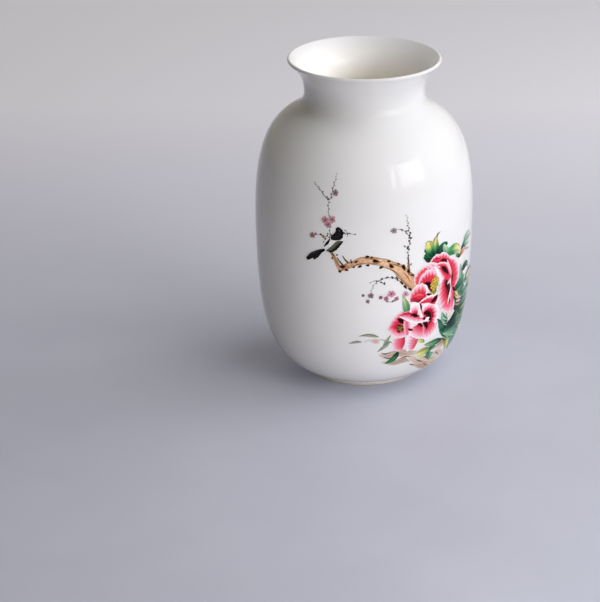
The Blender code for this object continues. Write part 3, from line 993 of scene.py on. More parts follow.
def lower_heart(flower):
    """The lower peony's rolled white petals and the dark folds between them."""
    petal(flower, [(62, 76.5), (57, 75), (50, 74.8), (44, 77), (37.6, 81), (31, 85.6)],
          [(60.5, 80.5), (56, 82.5), (50, 85), (44, 87.2), (38, 88.6), (31.2, 87)],
          ((0, PALE), (0.08, WHITE), (0.2, WHITE), (0.32, PALE), (0.46, PINK), (0.64, ROSE),
           (0.84, CRIMSON), (1, DEEP)), veining=0.03)
    hollow(flower, [(42.4, 85.6), (46.4, 85), (50, 82.6)], [0.8, 3.4, 5.2, 1.2])
    petal(flower, [(50.3, 95.3), (49.6, 90), (51, 85), (53, 80.6)],
          [(53.4, 95), (53.6, 90.5), (55.5, 86), (58.3, 80.6)],
          ((0, PALE), (0.25, WHITE), (0.6, WHITE), (0.78, PINK), (1, CRIMSON)))
    hollow(flower, [(51.6, 95.6), (53, 92.4), (53.8, 88)], [0.8, 2.4, 0.6])
    hollow(flower, [(50.6, 75), (53.6, 73.8), (56.4, 70.8)], [0.8, 3.4, 3.2, 0.8])
    hollow(flower, [(56.6, 75), (59.6, 73.4), (61.6, 70.6), (62.2, 67)], [1.2, 4.6, 5.6, 4.0, 0.8])
    blot(flower, (60.8, 77.6), (3.0, 1.8), ((0, WHITE), (0.75, WHITE), (1, PALE)), turn=32)
    blot(flower, (57.8, 79), (1.9, 1.6), ((0, MAROON), (0.7, MAROON), (1, CRIMSON)))


def paint_lower_peony(enamel):
    """The lower peony, with a dark folded heart."""
    flower = Painting("peony_lower", lift=0.42)
    lower_petals(flower)
    lower_heart(flower)
    flower.finish(enamel)


def paint_side_peony(enamel):
    """The third peony, half opened at the lower left."""
    flower = Painting("peony_side", lift=0.38)
    petal(flower, [(53.6, 63), (53.2, 56), (50.4, 49)], [(45, 71), (39, 64), (38.4, 55), (42.4, 46.8)],
          ((0, (190, 84, 92)), (0.1, (222, 84, 106)), (0.3, (238, 122, 146)), (0.5, PINK), (0.64, PALE),
           (0.8, (248, 240, 248)), (1, (238, 234, 246))), veining=0.08)
    petal(flower, [(38.2, 64), (38.8, 58), (37.6, 52.4)], [(28, 66), (25.4, 58), (28.4, 50.8), (35, 49)],
          ((0, DEEP), (0.1, CRIMSON), (0.34, (232, 84, 106)), (0.58, (240, 124, 148)), (0.78, PINK),
           (0.92, PALE), (1, WHITE)))
    petal(flower, [(29, 76), (33, 80), (38, 82), (44, 83)],
          [(19.6, 72.6), (21.6, 78), (24.6, 83), (28.6, 87.8), (33.5, 91), (39.5, 91.8), (45, 88.6)],
          ((0, DEEP), (0.2, CRIMSON), (0.46, (226, 62, 84)), (0.66, ROSE), (0.82, PINK),
           (0.93, PALE), (1, WHITE)))
    petal(flower, [(28, 76), (32, 75), (37, 74)], [(19.8, 72.8), (24.6, 66.8), (30, 63.4), (38, 63.6)],
          ((0, DEEP), (0.24, CRIMSON), (0.46, ROSE), (0.66, PINK), (0.84, PALE), (1, WHITE)))
    hollow(flower, [(29.6, 84), (32.6, 81.6), (36, 79.4), (39, 77)], [1.0, 5.6, 5.4, 1.0])
    paint_side_stamens(flower)
    petal(flower, [(35.8, 81), (36, 74), (38.6, 65)], [(43.6, 80), (44.6, 73.6), (43, 66)],
          ((0, PALE), (0.14, PINK), (0.34, ROSE), (0.56, ROSE), (0.76, PALE), (1, WHITE)))
    hollow(flower, [(40.6, 72), (43, 70.6), (46.6, 69.2)], [0.8, 2.8, 0.6])
    flower.finish(enamel)


def wash(painting, path, widths, tone):
    """A thin wash: the bare glaze shows at its ends and edges and between the streaks of the brush."""
    grid, u, v = ribbon(path, widths)
    cover = np.sin(np.pi * u) ** 0.5 * (1 - v**4) * (0.78 + 0.22 * np.sin(11 * v + 6 * u + path[0][0]))
    painting.lay(grid, np.array(BARE) + (np.array(tone) - BARE) * cover[..., None])


# The ground's washes, each as its path, its widths along it and its colour, and lines over them
GROUND = (
    ([(12, 47), (22, 44.6), (33, 47), (44, 44.6), (58, 43)], [2, 9, 10, 9, 3], (186, 154, 128)),
    ([(16, 38), (30, 36), (44, 38), (58, 35)], [2, 7, 9, 4], (176, 146, 122)),
    ([(70, 40), (80, 37), (92, 33), (106, 26)], [2, 8, 9, 2], (214, 182, 164)),
    ([(44, 41), (56, 35), (70, 29.6), (86, 24), (104, 20)], [3, 10, 12, 10, 3], (204, 162, 136)),
    ([(56, 38), (68, 34), (80, 29.6), (98, 25)], [2, 6, 7, 3], (200, 180, 122)),
    ([(52, 31), (64, 26), (78, 20.6), (96, 17)], [2, 7, 8, 3], (186, 142, 116)),
)
GROUND_LINES = (
    [(49.6, 31.4), (53.4, 29.4), (58, 27.4)], [(57, 34.4), (63, 31.4), (69.6, 27.6)],
    [(66, 36.4), (72, 33), (79, 28.4)], [(70, 27), (77, 23.6), (84, 21)],
    [(84, 36.4), (89, 33.4), (94, 29.6)], [(18, 44), (24, 42), (31, 43)],
    [(36, 40), (43, 41.6), (50, 39.6)], [(15, 49), (20, 47.6), (26, 49.4)],
)

# The rock's strokes, each as its path and its widths along it, and the lines along its edges
ROCK = (
    ([(128, 37), (138, 43), (150, 52), (156, 65)], [4, 12, 11, 3]),
    ([(118, 30), (134, 33), (150, 38), (164, 42)], [3, 9, 9, 1.5]),
    ([(146, 58), (152, 56), (160, 51), (165, 45)], [4, 8, 7, 2]),
)
ROCK_EDGES = (
    [(149, 73), (153, 68), (159, 62), (166, 45)], [(140, 45), (147, 49), (153, 56)],
    [(140, 36), (150, 39), (159, 41)], [(142, 58), (148, 60), (154, 61)],
)


def paint_ground(enamel):
    """The rock and the washed brush strokes that the spray grows from."""
    ground = Painting("rock_and_ground")
    rock = ((0, BARE), (0.12, (178, 142, 110)), (0.5, (124, 92, 62)), (0.85, (160, 122, 88)), (1, BARE))
    for path, widths, tone in GROUND:
        wash(ground, path, widths, tone)
    for path, widths in ROCK:
        stroke(ground, path, widths, rock)
    for path in ROCK_EDGES:
        stroke(ground, path, [0.6, 2.2, 1.6, 0.5], fading(INK, BARK_BROWN))
    for path in GROUND_LINES:
        stroke(ground, path, [0.3, 1.3, 0.9, 0.3], fading((112, 84, 70), (166, 134, 116)))
    ground.finish(enamel)


# Leaves, each as its spine from stalk to tip, its widths along it and its tones
BACK_LEAVES = (
    ([(97, 58), (112, 63), (126, 70), (141, 77)], [16, 30, 34, 22], EDGE_LEAF),
    ([(98, 100), (104, 92), (109, 85), (113, 76)], [4, 14, 17, 9], RISING_LEAF),
    ([(111, 91), (118, 91), (124, 91), (129, 91.5)], [3, 11, 13, 9, 1], MINT_LEAF),
    ([(100, 77.5), (113, 77), (127, 77.5), (140, 79), (152, 79.5)], [4, 11, 14, 14, 9, 0.5], EDGE_LEAF),
    ([(110, 68), (124, 67), (137, 68.5), (149, 73)], [5, 13, 15, 11, 0.5], EDGE_LEAF),
    ([(127, 90.5), (134, 91.5), (142, 91.5), (151, 91)], [2, 10, 12, 11, 1], SPRING_LEAF),
    ([(106, 50), (116, 47), (126, 44), (138, 42)], [4, 17, 20, 14, 0.5], MINT_LEAF),
    ([(104, 46), (109, 40), (114, 34), (120, 28)], [5, 11, 10, 6, 0.3], MIST_LEAF),
    ([(118, 46), (108, 46.5), (98, 48), (90, 50.5)], [3, 7, 7, 4, 0.4], MINT_LEAF),
    ([(76, 46), (74.6, 40), (76, 35), (80, 30)], [8, 12, 11, 7, 0.5], MIST_LEAF),
    ([(97, 44.5), (90, 43), (82, 41), (73.5, 40)], [3, 8, 8, 6, 0.5], PALE_LEAF),
    ([(95, 47), (100.5, 42), (104.5, 36.5), (108, 29)], [4, 8, 7.5, 5, 0.5], OCHRE_LEAF),
    ([(71, 43), (65.5, 42.6), (60, 42), (54, 42)], [4, 8, 8.5, 7, 0.6], OCHRE_LEAF),
    ([(88, 48.5), (79.5, 49), (71, 49), (62, 50)], [2, 6.5, 7, 5, 0.5], MISTY_LEAF),
    ([(62, 53.4), (57.5, 55.8), (51.6, 57.4)], [1.6, 4.6, 4.0, 0.5], OCHRE_LEAF),
)
FRONT_LEAVES = (
    ([(69, 137.4), (61, 138.4), (54.4, 141)], [7, 10, 9, 3.5], SHADE_LEAF),
    ([(67, 139), (60.5, 143), (55, 147)], [6, 7.5, 6.5, 2], FAN_LEAF),
    ([(70, 138.5), (74.5, 143.4), (78.5, 146), (82.6, 147.6)], [8, 9.4, 8.4, 7, 2.5], FAN_LEAF),
    ([(65, 139), (61.8, 146), (60.4, 150), (59.4, 154.2)], [6, 8, 9, 9.6, 5], TIP_LEAF),
    ([(67.6, 138.5), (67.2, 146), (67.4, 152), (68.8, 157.6)], [9, 10, 8, 5.6, 0.6], TIP_LEAF),
    ([(77.4, 147), (79.8, 142.6), (84, 138)], [2, 5.6, 6.6, 4],
     ((0, (206, 222, 200)), (0.5, (170, 202, 166)), (1, (84, 160, 106)))),
    ([(80.6, 138.6), (87, 138), (92, 138.2), (97.5, 137.4), (104.4, 133.4)], [3.6, 8.6, 10.2, 8.8, 1.2],
     WING_LEAF),
    ([(105.4, 133.2), (109, 136), (113, 139.4)], [0.6, 3.4, 3.4, 1.5],
     ((0, (20, 34, 28)), (0.6, (30, 56, 46)), (1, (110, 144, 124)))),
    ([(109.5, 137), (116, 141), (123, 142.6), (132, 141.5)], [2, 7.5, 7.5, 2], FROST_LEAF),
    ([(111, 134.6), (117, 136.4), (125, 135.4)], [2, 5, 5, 2], FROST_LEAF),
    ([(95.5, 133.5), (99, 130.6), (104.5, 127)], [1, 4.4, 3.8, 0.5],
     ((0, (206, 218, 170)), (0.4, LEAF_GREEN), (0.8, LEAF_DARK), (1, LEAF_DARK))),
    ([(109, 93), (108.6, 102), (107.6, 110), (106.6, 119.6)], [14, 15, 9.5, 5.5, 0.6],
     ((0, (84, 140, 112)), (0.35, (122, 178, 146)), (0.7, (142, 190, 160)), (1, (204, 220, 208)))),
    ([(96.5, 97.6), (102, 99), (109, 101.5), (118, 106)], [2.5, 7, 8, 5, 0.4], RISING_LEAF),
    ([(110, 111.5), (115, 114), (121, 115), (128, 110)], [3, 6.5, 6, 3.6, 0.5],
     ((0, (14, 34, 30)), (0.4, (30, 84, 64)), (0.65, (110, 160, 134)), (1, (206, 220, 190)))),
    ([(119, 99), (127, 100.4), (135, 101), (142, 101.5)], [3, 8, 9, 8, 3],
     ((0, LEAF_GREEN), (0.3, (226, 220, 180)), (0.7, (230, 212, 192)), (1, (204, 176, 162)))),
    ([(124, 52), (111, 57), (99, 58), (89, 58), (80, 60.5)], [2, 16, 24, 20, 12, 0.5], FOLD_LEAF),
    ([(127, 48.6), (112, 51.6), (99, 52.4), (87, 55)], [2, 8, 9.6, 7, 0.5], MIST_LEAF),
    ([(88, 64), (88.4, 70), (87, 77)], [4, 5, 3, 0.3], MIST_LEAF),
    ([(88, 61), (85, 68.6), (82.4, 75), (80, 79.8)], [5, 9.5, 8, 4.5, 0.3], MIST_LEAF),
    ([(89, 59), (83, 65), (78.5, 70.2), (74, 74.6)], [5, 9, 7.5, 3.5, 0.3], TEAL_LEAF),
    ([(38.6, 90), (37.4, 96), (35.8, 101), (33.6, 107)], [6, 7, 5.6, 2.8, 0.3], SPRING_LEAF),
)
SPRIG_LEAVES = (
    ([(17, 57), (19.5, 61), (24, 68)], [1, 3.6, 2.4, 0.3], DULL_LEAF),
    ([(24, 61), (18, 55.5), (11, 50)], [1, 4, 3, 0.3], DULL_LEAF),
    ([(12, 66.5), (6, 68), (0, 68.6), (-7, 67.6)], [0.8, 3, 3.2, 2, 0.3], DULL_LEAF),
    ([(-4, 61.4), (-9, 61.4), (-17, 59.4)], [0.6, 2.6, 2, 0.3], DULL_LEAF),
    ([(33, 48), (31, 44), (27, 39.5), (20, 36)], [3, 6, 6, 4, 0.3], GREEN_LEAF),
)

# Strokes along the edges of leaves, each as its path, its widths along it and its colour
LEAF_STROKES = (
    ([(68.4, 156), (69.6, 158.8), (72.6, 160.8)], [1.0, 1.4, 0.4], (104, 112, 108)),
    ([(55.8, 151.6), (57.8, 154.4), (61, 154), (64, 152.6)], [0.4, 1.0, 0.9, 0.3], (166, 164, 88)),
    ([(91, 143.6), (97, 142.2), (103.4, 138)], [0.4, 1.0, 0.9, 0.3], (166, 164, 88)),
    ([(64.4, 151), (65.6, 154.6), (68.2, 157.6)], [0.4, 1.0, 0.9, 0.3], (166, 164, 88)),
    ([(114, 131.8), (119, 130.4), (126, 129)], [0.5, 2.4, 0.6], (182, 170, 166)),
    ([(123, 103.6), (130, 106), (137, 106), (141.5, 104), (142.5, 99)], [0.6, 1.2, 1.2, 1.1, 0.4],
     (74, 58, 56)),
)

# Strokes between the right-hand leaves, each as its path, its width at the middle and its colour
GAP_STROKES = (
    ([(80, 71.6), (84, 68.4), (89, 66)], 0.9, (216, 230, 218)),
    ([(81, 74.6), (85, 71.4), (90, 69)], 0.9, (216, 230, 218)),
    ([(82.6, 68.4), (86, 65.4), (91, 63)], 0.9, (196, 218, 198)),
    ([(84, 76.6), (87, 74), (91, 72)], 0.8, (216, 230, 218)),
    ([(97, 95.6), (101, 92.4), (105, 88.6)], 3.4, (222, 208, 142)),
    ([(97.4, 92), (101, 88.6), (104.6, 85)], 2.2, (170, 186, 110)),
    ([(101, 88.6), (106, 86.4), (112, 85)], 3.8, (228, 178, 162)),
    ([(101.6, 84.4), (106.5, 82.6), (112, 81.8)], 3.2, (222, 190, 178)),
    ([(102, 86.6), (107, 84.4), (112.6, 83.4)], 0.8, (170, 96, 84)),
    ([(100, 81.6), (105.6, 79.4), (112, 78.6)], 1.6, (206, 146, 126)),
    ([(117, 83.4), (126, 86.4), (135, 87.4), (143, 86)], 2.4, (206, 200, 192)),
    ([(114, 72), (124, 72.6), (136, 75)], 1.5, (206, 218, 160)),
    ([(116, 62), (126, 65.4), (137, 70)], 1.7, (200, 214, 148)),
    ([(118, 53), (127, 51), (136, 49.6)], 1.8, (222, 222, 150)),
    ([(96.5, 65.6), (103, 67.4), (110, 68.6)], 2.8, (16, 34, 30)),
    ([(115.6, 97.4), (119.4, 94.8), (123, 92.6)], 3.2, (212, 234, 220)),
    ([(87, 76), (93, 74), (99.6, 73.6)], 2.6, (242, 228, 216)),
    ([(88, 72.4), (94, 71), (98.6, 71.4)], 2.0, (238, 220, 206)),
    ([(82.6, 50.8), (88, 49.6), (96.4, 45.6)], 1.6, INK),
    ([(98, 50), (106, 48), (114, 44.6)], 1.6, (176, 204, 164)),
    ([(92, 51.6), (99, 47.6), (104, 43)], 1.3, (150, 192, 140)),
    ([(112, 55), (116, 60), (119, 66)], 1.6, (120, 176, 146)),
)


def paint_leaves(enamel):
    """The peony leaves behind, beside and below the flowers, and the small sprig at the left."""
    behind = Painting("leaves_behind", lift=0.12)
    for shape_and_tones in BACK_LEAVES:
        leaf(behind, *shape_and_tones)
    behind.finish(enamel)
    front = Painting("leaves_front", lift=0.30)
    for shape_and_tones in FRONT_LEAVES:
        leaf(front, *shape_and_tones)
    for path, widths, tone in LEAF_STROKES:
        stroke(front, path, widths, plain(tone))
    for path, width, tone in GAP_STROKES:
        stroke(front, path, [0.3 * width, width, 0.3 * width], plain(tone))
    front.finish(enamel)
    paint_sprig(enamel)


def paint_sprig(enamel):
    """The pale sprig at the lower left and the bud at the right."""
    sprig = Painting("sprig_and_buds", lift=0.16)
    stroke(sprig, [(30, 55), (24, 60), (16, 63), (8, 64.5), (-2, 62)], [0.8, 0.7, 0.6, 0.5, 0.3],
           plain((120, 126, 104)))
    for shape_and_tones in SPRIG_LEAVES:
        leaf(sprig, *shape_and_tones)
    blot(sprig, (9, 62), (5.4, 3.2), ((0, (216, 172, 164)), (0.6, (228, 200, 192)), (1, BARE)), turn=-8)
    petal(sprig, [(100.5, 126.8), (103.5, 130)],
          [(101, 126.4), (109, 127.6), (116, 130.6), (117.5, 133.6), (112, 134.6), (106, 133)],
          ((0, (120, 64, 40)), (0.3, BARK_BROWN), (0.65, BUD), (1, (236, 200, 170))), veining=0.12)
    sprig.finish(enamel)


# The branch: its middle line, bark lines, broken stubs, and knots by their place, size and turn
BRANCH_LINE = ((39, 122.4), (31, 131.4), (20, 138.2), (8, 142.2), (-3, 142.8), (-12, 139.6), (-20, 135.6))
BARK_LINES = (
    [(42, 113), (37, 117), (31, 123), (26, 128.5)], [(41, 118), (38, 124), (33, 130)],
    [(30, 126.5), (24, 132), (17, 135.6)], [(34, 133), (27, 137), (19, 139.6)],
    [(14, 141.8), (8, 139.6), (2, 140.4)], [(12, 144.6), (5, 144.4), (-3, 145)],
    [(-2, 141), (-8, 139), (-14, 137)], [(-24, 135), (-26, 139), (-29, 144)],
)
STUBS = (
    [(-26.5, 145), (-24, 141), (-20.5, 137)], [(-21.5, 147), (-19.6, 143.6), (-16.6, 140.5)],
    [(-14.2, 143.8), (-13.8, 142), (-13, 140.2)],
)
KNOTS = (
    ((8, 142.2), (2.8, 1.4), -8), ((22.4, 136.4), (2.4, 1.4), -42), ((34, 134), (1.5, 2.8), 22),
    ((38.8, 129.6), (1.4, 2.0), 15), ((20, 141.4), (1.6, 1.0), 0), ((0.6, 146.5), (1.9, 1.1), 5),
    ((4.6, 145.9), (1.2, 0.8), 0), ((13.2, 136), (1.9, 1.1), 20), ((1, 138.4), (1.6, 1.0), 0),
    ((-6, 137.2), (1.8, 1.0), 25), ((-18, 133.4), (1.6, 1.0), 0), ((-21.5, 136.3), (2.6, 1.4), 8),
    ((-24, 131.6), (1.3, 1.2), 0), ((-9.4, 141.6), (1.8, 0.8), 25), ((-31, 143.6), (0.8, 0.9), 0),
    ((-26.6, 147.2), (0.8, 0.7), 0), ((36, 114.6), (2.2, 1.0), -50), ((40.8, 111.6), (2.2, 1.0), -35),
    ((42.6, 125.2), (2.0, 0.9), -10), ((32.4, 119), (2.0, 0.8), -45), ((27.6, 124.4), (1.6, 0.7), -40),
    ((29, 138), (1.4, 0.8), -30), ((-11.5, 136.4), (1.2, 0.7), 25),
)


def paint_branch(enamel):
    """The gnarled branch, its bark, knots and broken stubs."""
    branch = Painting("branch", lift=0.20)
    bark = ((0, (226, 176, 136)), (0.25, BARK), (0.5, (240, 204, 170)), (0.75, (228, 184, 148)),
            (1, (176, 122, 84)))
    gnarled = [9.5, 10.6, 12, 10.4, 10.8, 9.2, 8.2, 8.8, 7.2, 7.8, 6.8, 7.4, 5.6, 6.2, 4.4, 3.0]
    stroke(branch, [(45.5, 113), *BRANCH_LINE, (-25, 132)], gnarled, bark, edge=0.28)
    side_by_side(branch, blot, bark_flecks())
    stroke(branch, [(-22.5, 133.5), (-25.5, 136.5), (-27.5, 141), (-30, 146), (-33.5, 151)],
           [4.0, 3.6, 3.2, 2.8, 1.6], ((0, BARK), (0.6, (206, 160, 120)), (1, BARK_BROWN)), edge=0.3)
    stroke(branch, [(39.6, 126), (38.8, 135), (38.2, 145)], [2.8, 2.0, 0.8], fading((150, 112, 92), TWIG))
    for path in BARK_LINES:
        stroke(branch, path, [0.3, 1.4, 0.3], plain((172, 118, 76)))
    for path in STUBS:
        stroke(branch, path, [0.7, 1.4, 1.5], fading((96, 66, 46), INK))
    rough = fading(INK, BARK_BROWN)
    side_by_side(branch, blot, [(centre, (KNOT_LENGTH * size[0], KNOT_WIDTH * size[1]), rough, turn)
                                for centre, size, turn in KNOTS])
    branch.finish(enamel)


def bark_flecks():
    """Lighter and darker flecks strewn along the branch, each turned to lie along it."""
    line = smooth_path([(43, 116), *BRANCH_LINE], FLECK_COUNT + 2)
    marks = []
    for k in range(1, FLECK_COUNT + 1):
        step = line[k + 1] - line[k - 1]
        centre = (line[k][0], line[k][1] + 2.6 * math.sin(ROUGH_GOLDEN_TURN * k))
        size = (1.7 + 0.5 * math.sin(k), 0.5)
        turn = math.degrees(math.atan2(step[1], step[0]))
        marks.append((centre, size, fading(FLECK_TONES[k % 3], BARK), turn))
    return marks


# Plum twigs, each as its path
TWIGS = (
    [(-33, 163), (-33.3, 170), (-34, 176)], [(-34, 181), (-34.8, 187), (-35.2, 192), (-35, 198)],
    [(-35, 198), (-38.5, 200), (-42, 203.5), (-47, 208), (-51, 211.5)],
    [(-35, 197.5), (-33, 200), (-32, 206), (-30.8, 212), (-29.5, 217), (-29.2, 221.5)],
    [(-38.3, 158), (-38.2, 162), (-42, 164.3), (-46, 164.2)], [(-38.3, 162), (-36, 164.5), (-34.5, 166)],
    [(-21, 168), (-18.5, 167.4), (-15, 168), (-11, 167.5)],
    [(-19, 171.4), (-17.6, 168.6), (-16.6, 165.4)],
    [(39.2, 127), (38.6, 137), (38.1, 145), (38.5, 151), (39.6, 157), (40.2, 162), (38.7, 169),
     (37.6, 176), (36.8, 183.5)],
    [(40.1, 161), (36.5, 166.5), (32, 169.8), (25, 171)], [(38.4, 151), (36.8, 152.3), (35.5, 153.5)],
    [(39, 134), (40.5, 135.5), (42.2, 136.5)],
    [(41, 112), (36, 116.5), (30, 121.5), (25, 124.2), (20, 125.3), (14, 124.3), (9, 121.5), (5.6, 117),
     (4.5, 112.5), (4, 109)],
    [(12, 122.8), (8, 123.2), (4, 121.5)], [(14, 121), (15.5, 119.8), (17, 119)],
    [(20, 101.8), (23, 101.3), (26.5, 101.8)],
)


def twig_buds(path, first):
    """Every second bud of a twig, from the first one given, all at one side of it. The buds of high
    twigs are smaller and fainter."""
    line = smooth_path(path, max(3, int(path_length(path) / BUD_SPACING)))
    faint = float(np.clip((path[0][1] - FAINT_FROM) / FAINT_OVER, 0, 1))
    offset = BUD_OFFSET if first else -BUD_OFFSET
    marks = []
    for k in range(first, len(line), 2):
        sway = math.sin(12.9 * k + 4.1 * line[0][0])
        size = (BUD_SIZE - 0.25 * faint) + 0.38 * sway
        tone = 48 * faint + np.array(BUD_TONES[k % 3])
        centre = (line[k][0] + offset, line[k][1] + 0.5 * sway)
        marks.append((centre, (size, 0.65 * size), plain(tone), 70 * k))
    return marks


def paint_blossom(plum, x, z, radius, tone):
    """A plum blossom: five uneven petals, paler at their rims, about a dark heart with a ring of dots."""
    rim = tuple(0.6 * c + 98 for c in tone)
    dots = []
    for k in range(BLOSSOM_PETALS):
        a = 2 * math.pi * k / BLOSSOM_PETALS + 0.3 * x
        size = radius * (0.45 + 0.08 * math.sin(3 * k + x))
        centre = (x + 0.52 * radius * math.sin(a), z + 0.5 * radius * math.cos(a))
        blot(plum, centre, (size, 0.86 * size), fading(tone, rim), 72 * k)
        b, ring = BLOSSOM_DOT_TURN * k + x, 0.42 * radius
        dot = (x + ring * math.sin(b), z + ring * math.cos(b))
        dots.append((dot, (0.4, 0.3), plain(PLUM_DARK), 30 * k))
    side_by_side(plum, blot, dots)
    blot(plum, (x, z), (0.26 * radius, 0.2 * radius), plain(PLUM_DARK), turn=40)


# Plum blossoms, each by its x, z, radius and colour
BLOSSOMS = (
    (-37.6, 178.9, 4.0, (200, 142, 154)), (-31.4, 180, 4.0, (202, 146, 158)),
    (-35, 174.9, 3.6, (192, 132, 146)), (-29, 204.5, 3.2, (146, 122, 132)),
    (-50, 163, 3.3, (172, 122, 128)), (24.5, 170, 3.4, (158, 142, 150)), (4, 108.7, 3.2, (136, 122, 126)),
    (13, 106.5, 2.2, MAUVE), (18, 105, 3.0, (190, 122, 140)), (23, 109.3, 4.2, (214, 142, 162)),
    (27.8, 104, 2.7, (196, 138, 152)), (36.5, 107.5, 3.6, (222, 172, 184)),
    (-39.5, 163.5, 1.8, (210, 168, 150)), (-3, 109, 1.8, (156, 142, 146)),
    (1.2, 103, 2.3, (150, 130, 136)),
)


def paint_plum(enamel):
    """Plum twigs, buds and blossoms."""
    plum = Painting("plum_twigs", lift=0.10)
    grey = fading((130, 116, 114), (172, 164, 162))
    side_by_side(plum, stroke, [(path, [0.7, 0.5, 0.55, 0.35], grey) for path in TWIGS])
    for first in (0, 1):
        side_by_side(plum, blot, [mark for path in TWIGS for mark in twig_buds(path, first)])
    plum.finish(enamel)
    blossoms = Painting("plum_blossoms", lift=0.34)
    side_by_side(blossoms, paint_blossom, BLOSSOMS)
    blossoms.finish(enamel)


def paint_magpie(enamel):
    """The magpie on the branch's end: black head, breast and tail, white belly and an olive wing."""
    bird = Painting("magpie", lift=0.40)
    black = ((0, BIRD_BLACK), (0.5, (36, 34, 38)), (1, BIRD_BLACK))
    petal(bird, [(-38, 152), (-39, 156), (-37.5, 160), (-33, 162)],
          [(-33, 151), (-28, 154.5), (-23, 158.5), (-21.5, 163)], plain((246, 246, 244)))
    petal(bird, [(-31.8, 161), (-32.2, 164.2), (-29.4, 167.2), (-27.7, 169.6), (-27.8, 172), (-26, 173.6)],
          [(-27.4, 160.8), (-22.6, 162.4), (-20.9, 166.5), (-21.6, 171), (-24.4, 173.4)], black)
    petal(bird, [(-36.8, 150.2), (-31.4, 155.4), (-26.6, 160.4), (-21, 161)],
          [(-33, 148.8), (-28, 151), (-24, 155.6), (-21, 160)],
          ((0, (64, 66, 50)), (0.2, (112, 114, 90)), (0.42, (92, 94, 72)), (0.62, (34, 36, 30)),
           (1, BIRD_BLACK)))
    stroke(bird, [(-33, 162), (-35, 158.5), (-38.5, 154)], [1.0, 2.6, 0.8], black)
    stroke(bird, [(-38, 151), (-44, 147.8), (-50, 144), (-55.8, 139.2)], [2.0, 4.4, 5.2, 3.0], black,
           edge=0.4)
    stroke(bird, [(-41.5, 148.4), (-45.4, 144.8), (-49, 140.6)], [2.0, 4.4, 2.8], black, edge=0.4)
    stroke(bird, [(-42, 150), (-49, 146.3), (-54, 142.5)], [0.2, 0.6, 0.2], plain((70, 72, 80)))
    blot(bird, (-30.6, 164.6), (1.1, 1.7), ((0, (74, 44, 40)), (1, BIRD_BLACK)), turn=30)
    stroke(bird, [(-22, 169.3), (-20, 168.7), (-18.5, 168)], [1.4, 0.9, 0.2], plain(BIRD_BLACK))
    stroke(bird, [(-31, 150.5), (-30.2, 147.5), (-29.2, 145.5)], [0.8, 0.6, 0.5], plain(INK))
    blot(bird, (-24.3, 170.2), (0.55, 0.5), ((0, BIRD_BLACK), (0.5, BIRD_BLACK), (1, (150, 150, 150))))
    bird.finish(enamel)


def build_painting():
    """The whole spray, from the ground behind it to the bird on top."""
    enamel = enamel_material()
    paint_ground(enamel)
    paint_leaves(enamel)
    paint_branch(enamel)
    paint_plum(enamel)
    paint_side_peony(enamel)
    paint_lower_peony(enamel)
    paint_upper_peony(enamel)
    paint_magpie(enamel)


# The studio: its floor, which pales between two places behind the vase, and strengths as low and high
FLOOR_REACH = 8.0
FLOOR_FADE = (0.1, 0.8)
FLOOR_GLOW = (0.07, 0.2)
SURROUND_STRENGTH = (0.045, 0.55)
BOUNCES = 12


def seen_or_mirrored(tree):
    """1 for rays from the camera, and for those that a glossy or clear surface sends on."""
    rays = tree.nodes.new("ShaderNodeLightPath").outputs
    mirrored = calculated(tree, "MAXIMUM", rays["Is Camera Ray"], rays["Is Glossy Ray"])
    return calculated(tree, "MAXIMUM", mirrored, rays["Is Transmission Ray"])


def build_floor():
    """A wide level floor with a very faint mottle, bluish about the vase and paler behind it. It has a
    faint glow of its own, seen by the camera and in mirror images."""
    reach = FLOOR_REACH
    corners = [(-reach, -reach, 0), (reach, -reach, 0), (reach, reach, 0), (-reach, reach, 0)]
    mesh = bpy.data.meshes.new("studio_floor")
    mesh.from_pydata(corners, [], [(0, 1, 2, 3)])
    floor = bpy.data.objects.new("studio_floor", mesh)
    bpy.context.scene.collection.objects.link(floor)
    material, tree, shader = new_material("pale_floor", 0.55)
    behind = stretched(tree, coordinate(tree, "Y"), *FLOOR_FADE)
    near = mixed(tree, mottled(tree, 9), (0.49, 0.50, 0.57), (0.52, 0.53, 0.60))
    far = (0.66, 0.65, 0.70)
    glow_tint = mixed(tree, behind, (0.72, 0.76, 1.0), (0.98, 0.95, 1.0))
    glow = calculated(tree, "MULTIPLY", seen_or_mirrored(tree), stretched(tree, behind, 0, 1, *FLOOR_GLOW))
    tree.links.new(mixed(tree, behind, near, far), shader.inputs["Base Color"])
    tree.links.new(glow_tint, shader.inputs["Emission Color"])
    tree.links.new(glow, shader.inputs["Emission Strength"])
    mesh.materials.append(material)


def direction(azimuth, elevation):
    """The unit vector at an azimuth, from the front to the viewer's right, and an elevation."""
    a, e = math.radians(azimuth), math.radians(elevation)
    return Vector((math.sin(a) * math.cos(e), -math.cos(a) * math.cos(e), math.sin(e)))


def soft_light(name, azimuth, elevation, distance, size, power, colour, mirrored=False, level=BELLY_LEVEL,
               spread=180):
    """A rectangular lamp that faces the axis of the vase at a level, and may show in the glaze."""
    lamp = bpy.data.lights.new(name, "AREA")
    lamp.shape = "RECTANGLE"
    lamp.size, lamp.size_y = size
    lamp.energy = power
    lamp.color = colour
    lamp.spread = math.radians(spread)
    holder = bpy.data.objects.new(name, lamp)
    towards = direction(azimuth, elevation)
    holder.location = Vector((0, 0, level)) + distance * towards
    holder.rotation_euler = towards.to_track_quat("Z", "Y").to_euler()
    holder.visible_camera = False
    holder.visible_glossy = mirrored
    bpy.context.scene.collection.objects.link(holder)


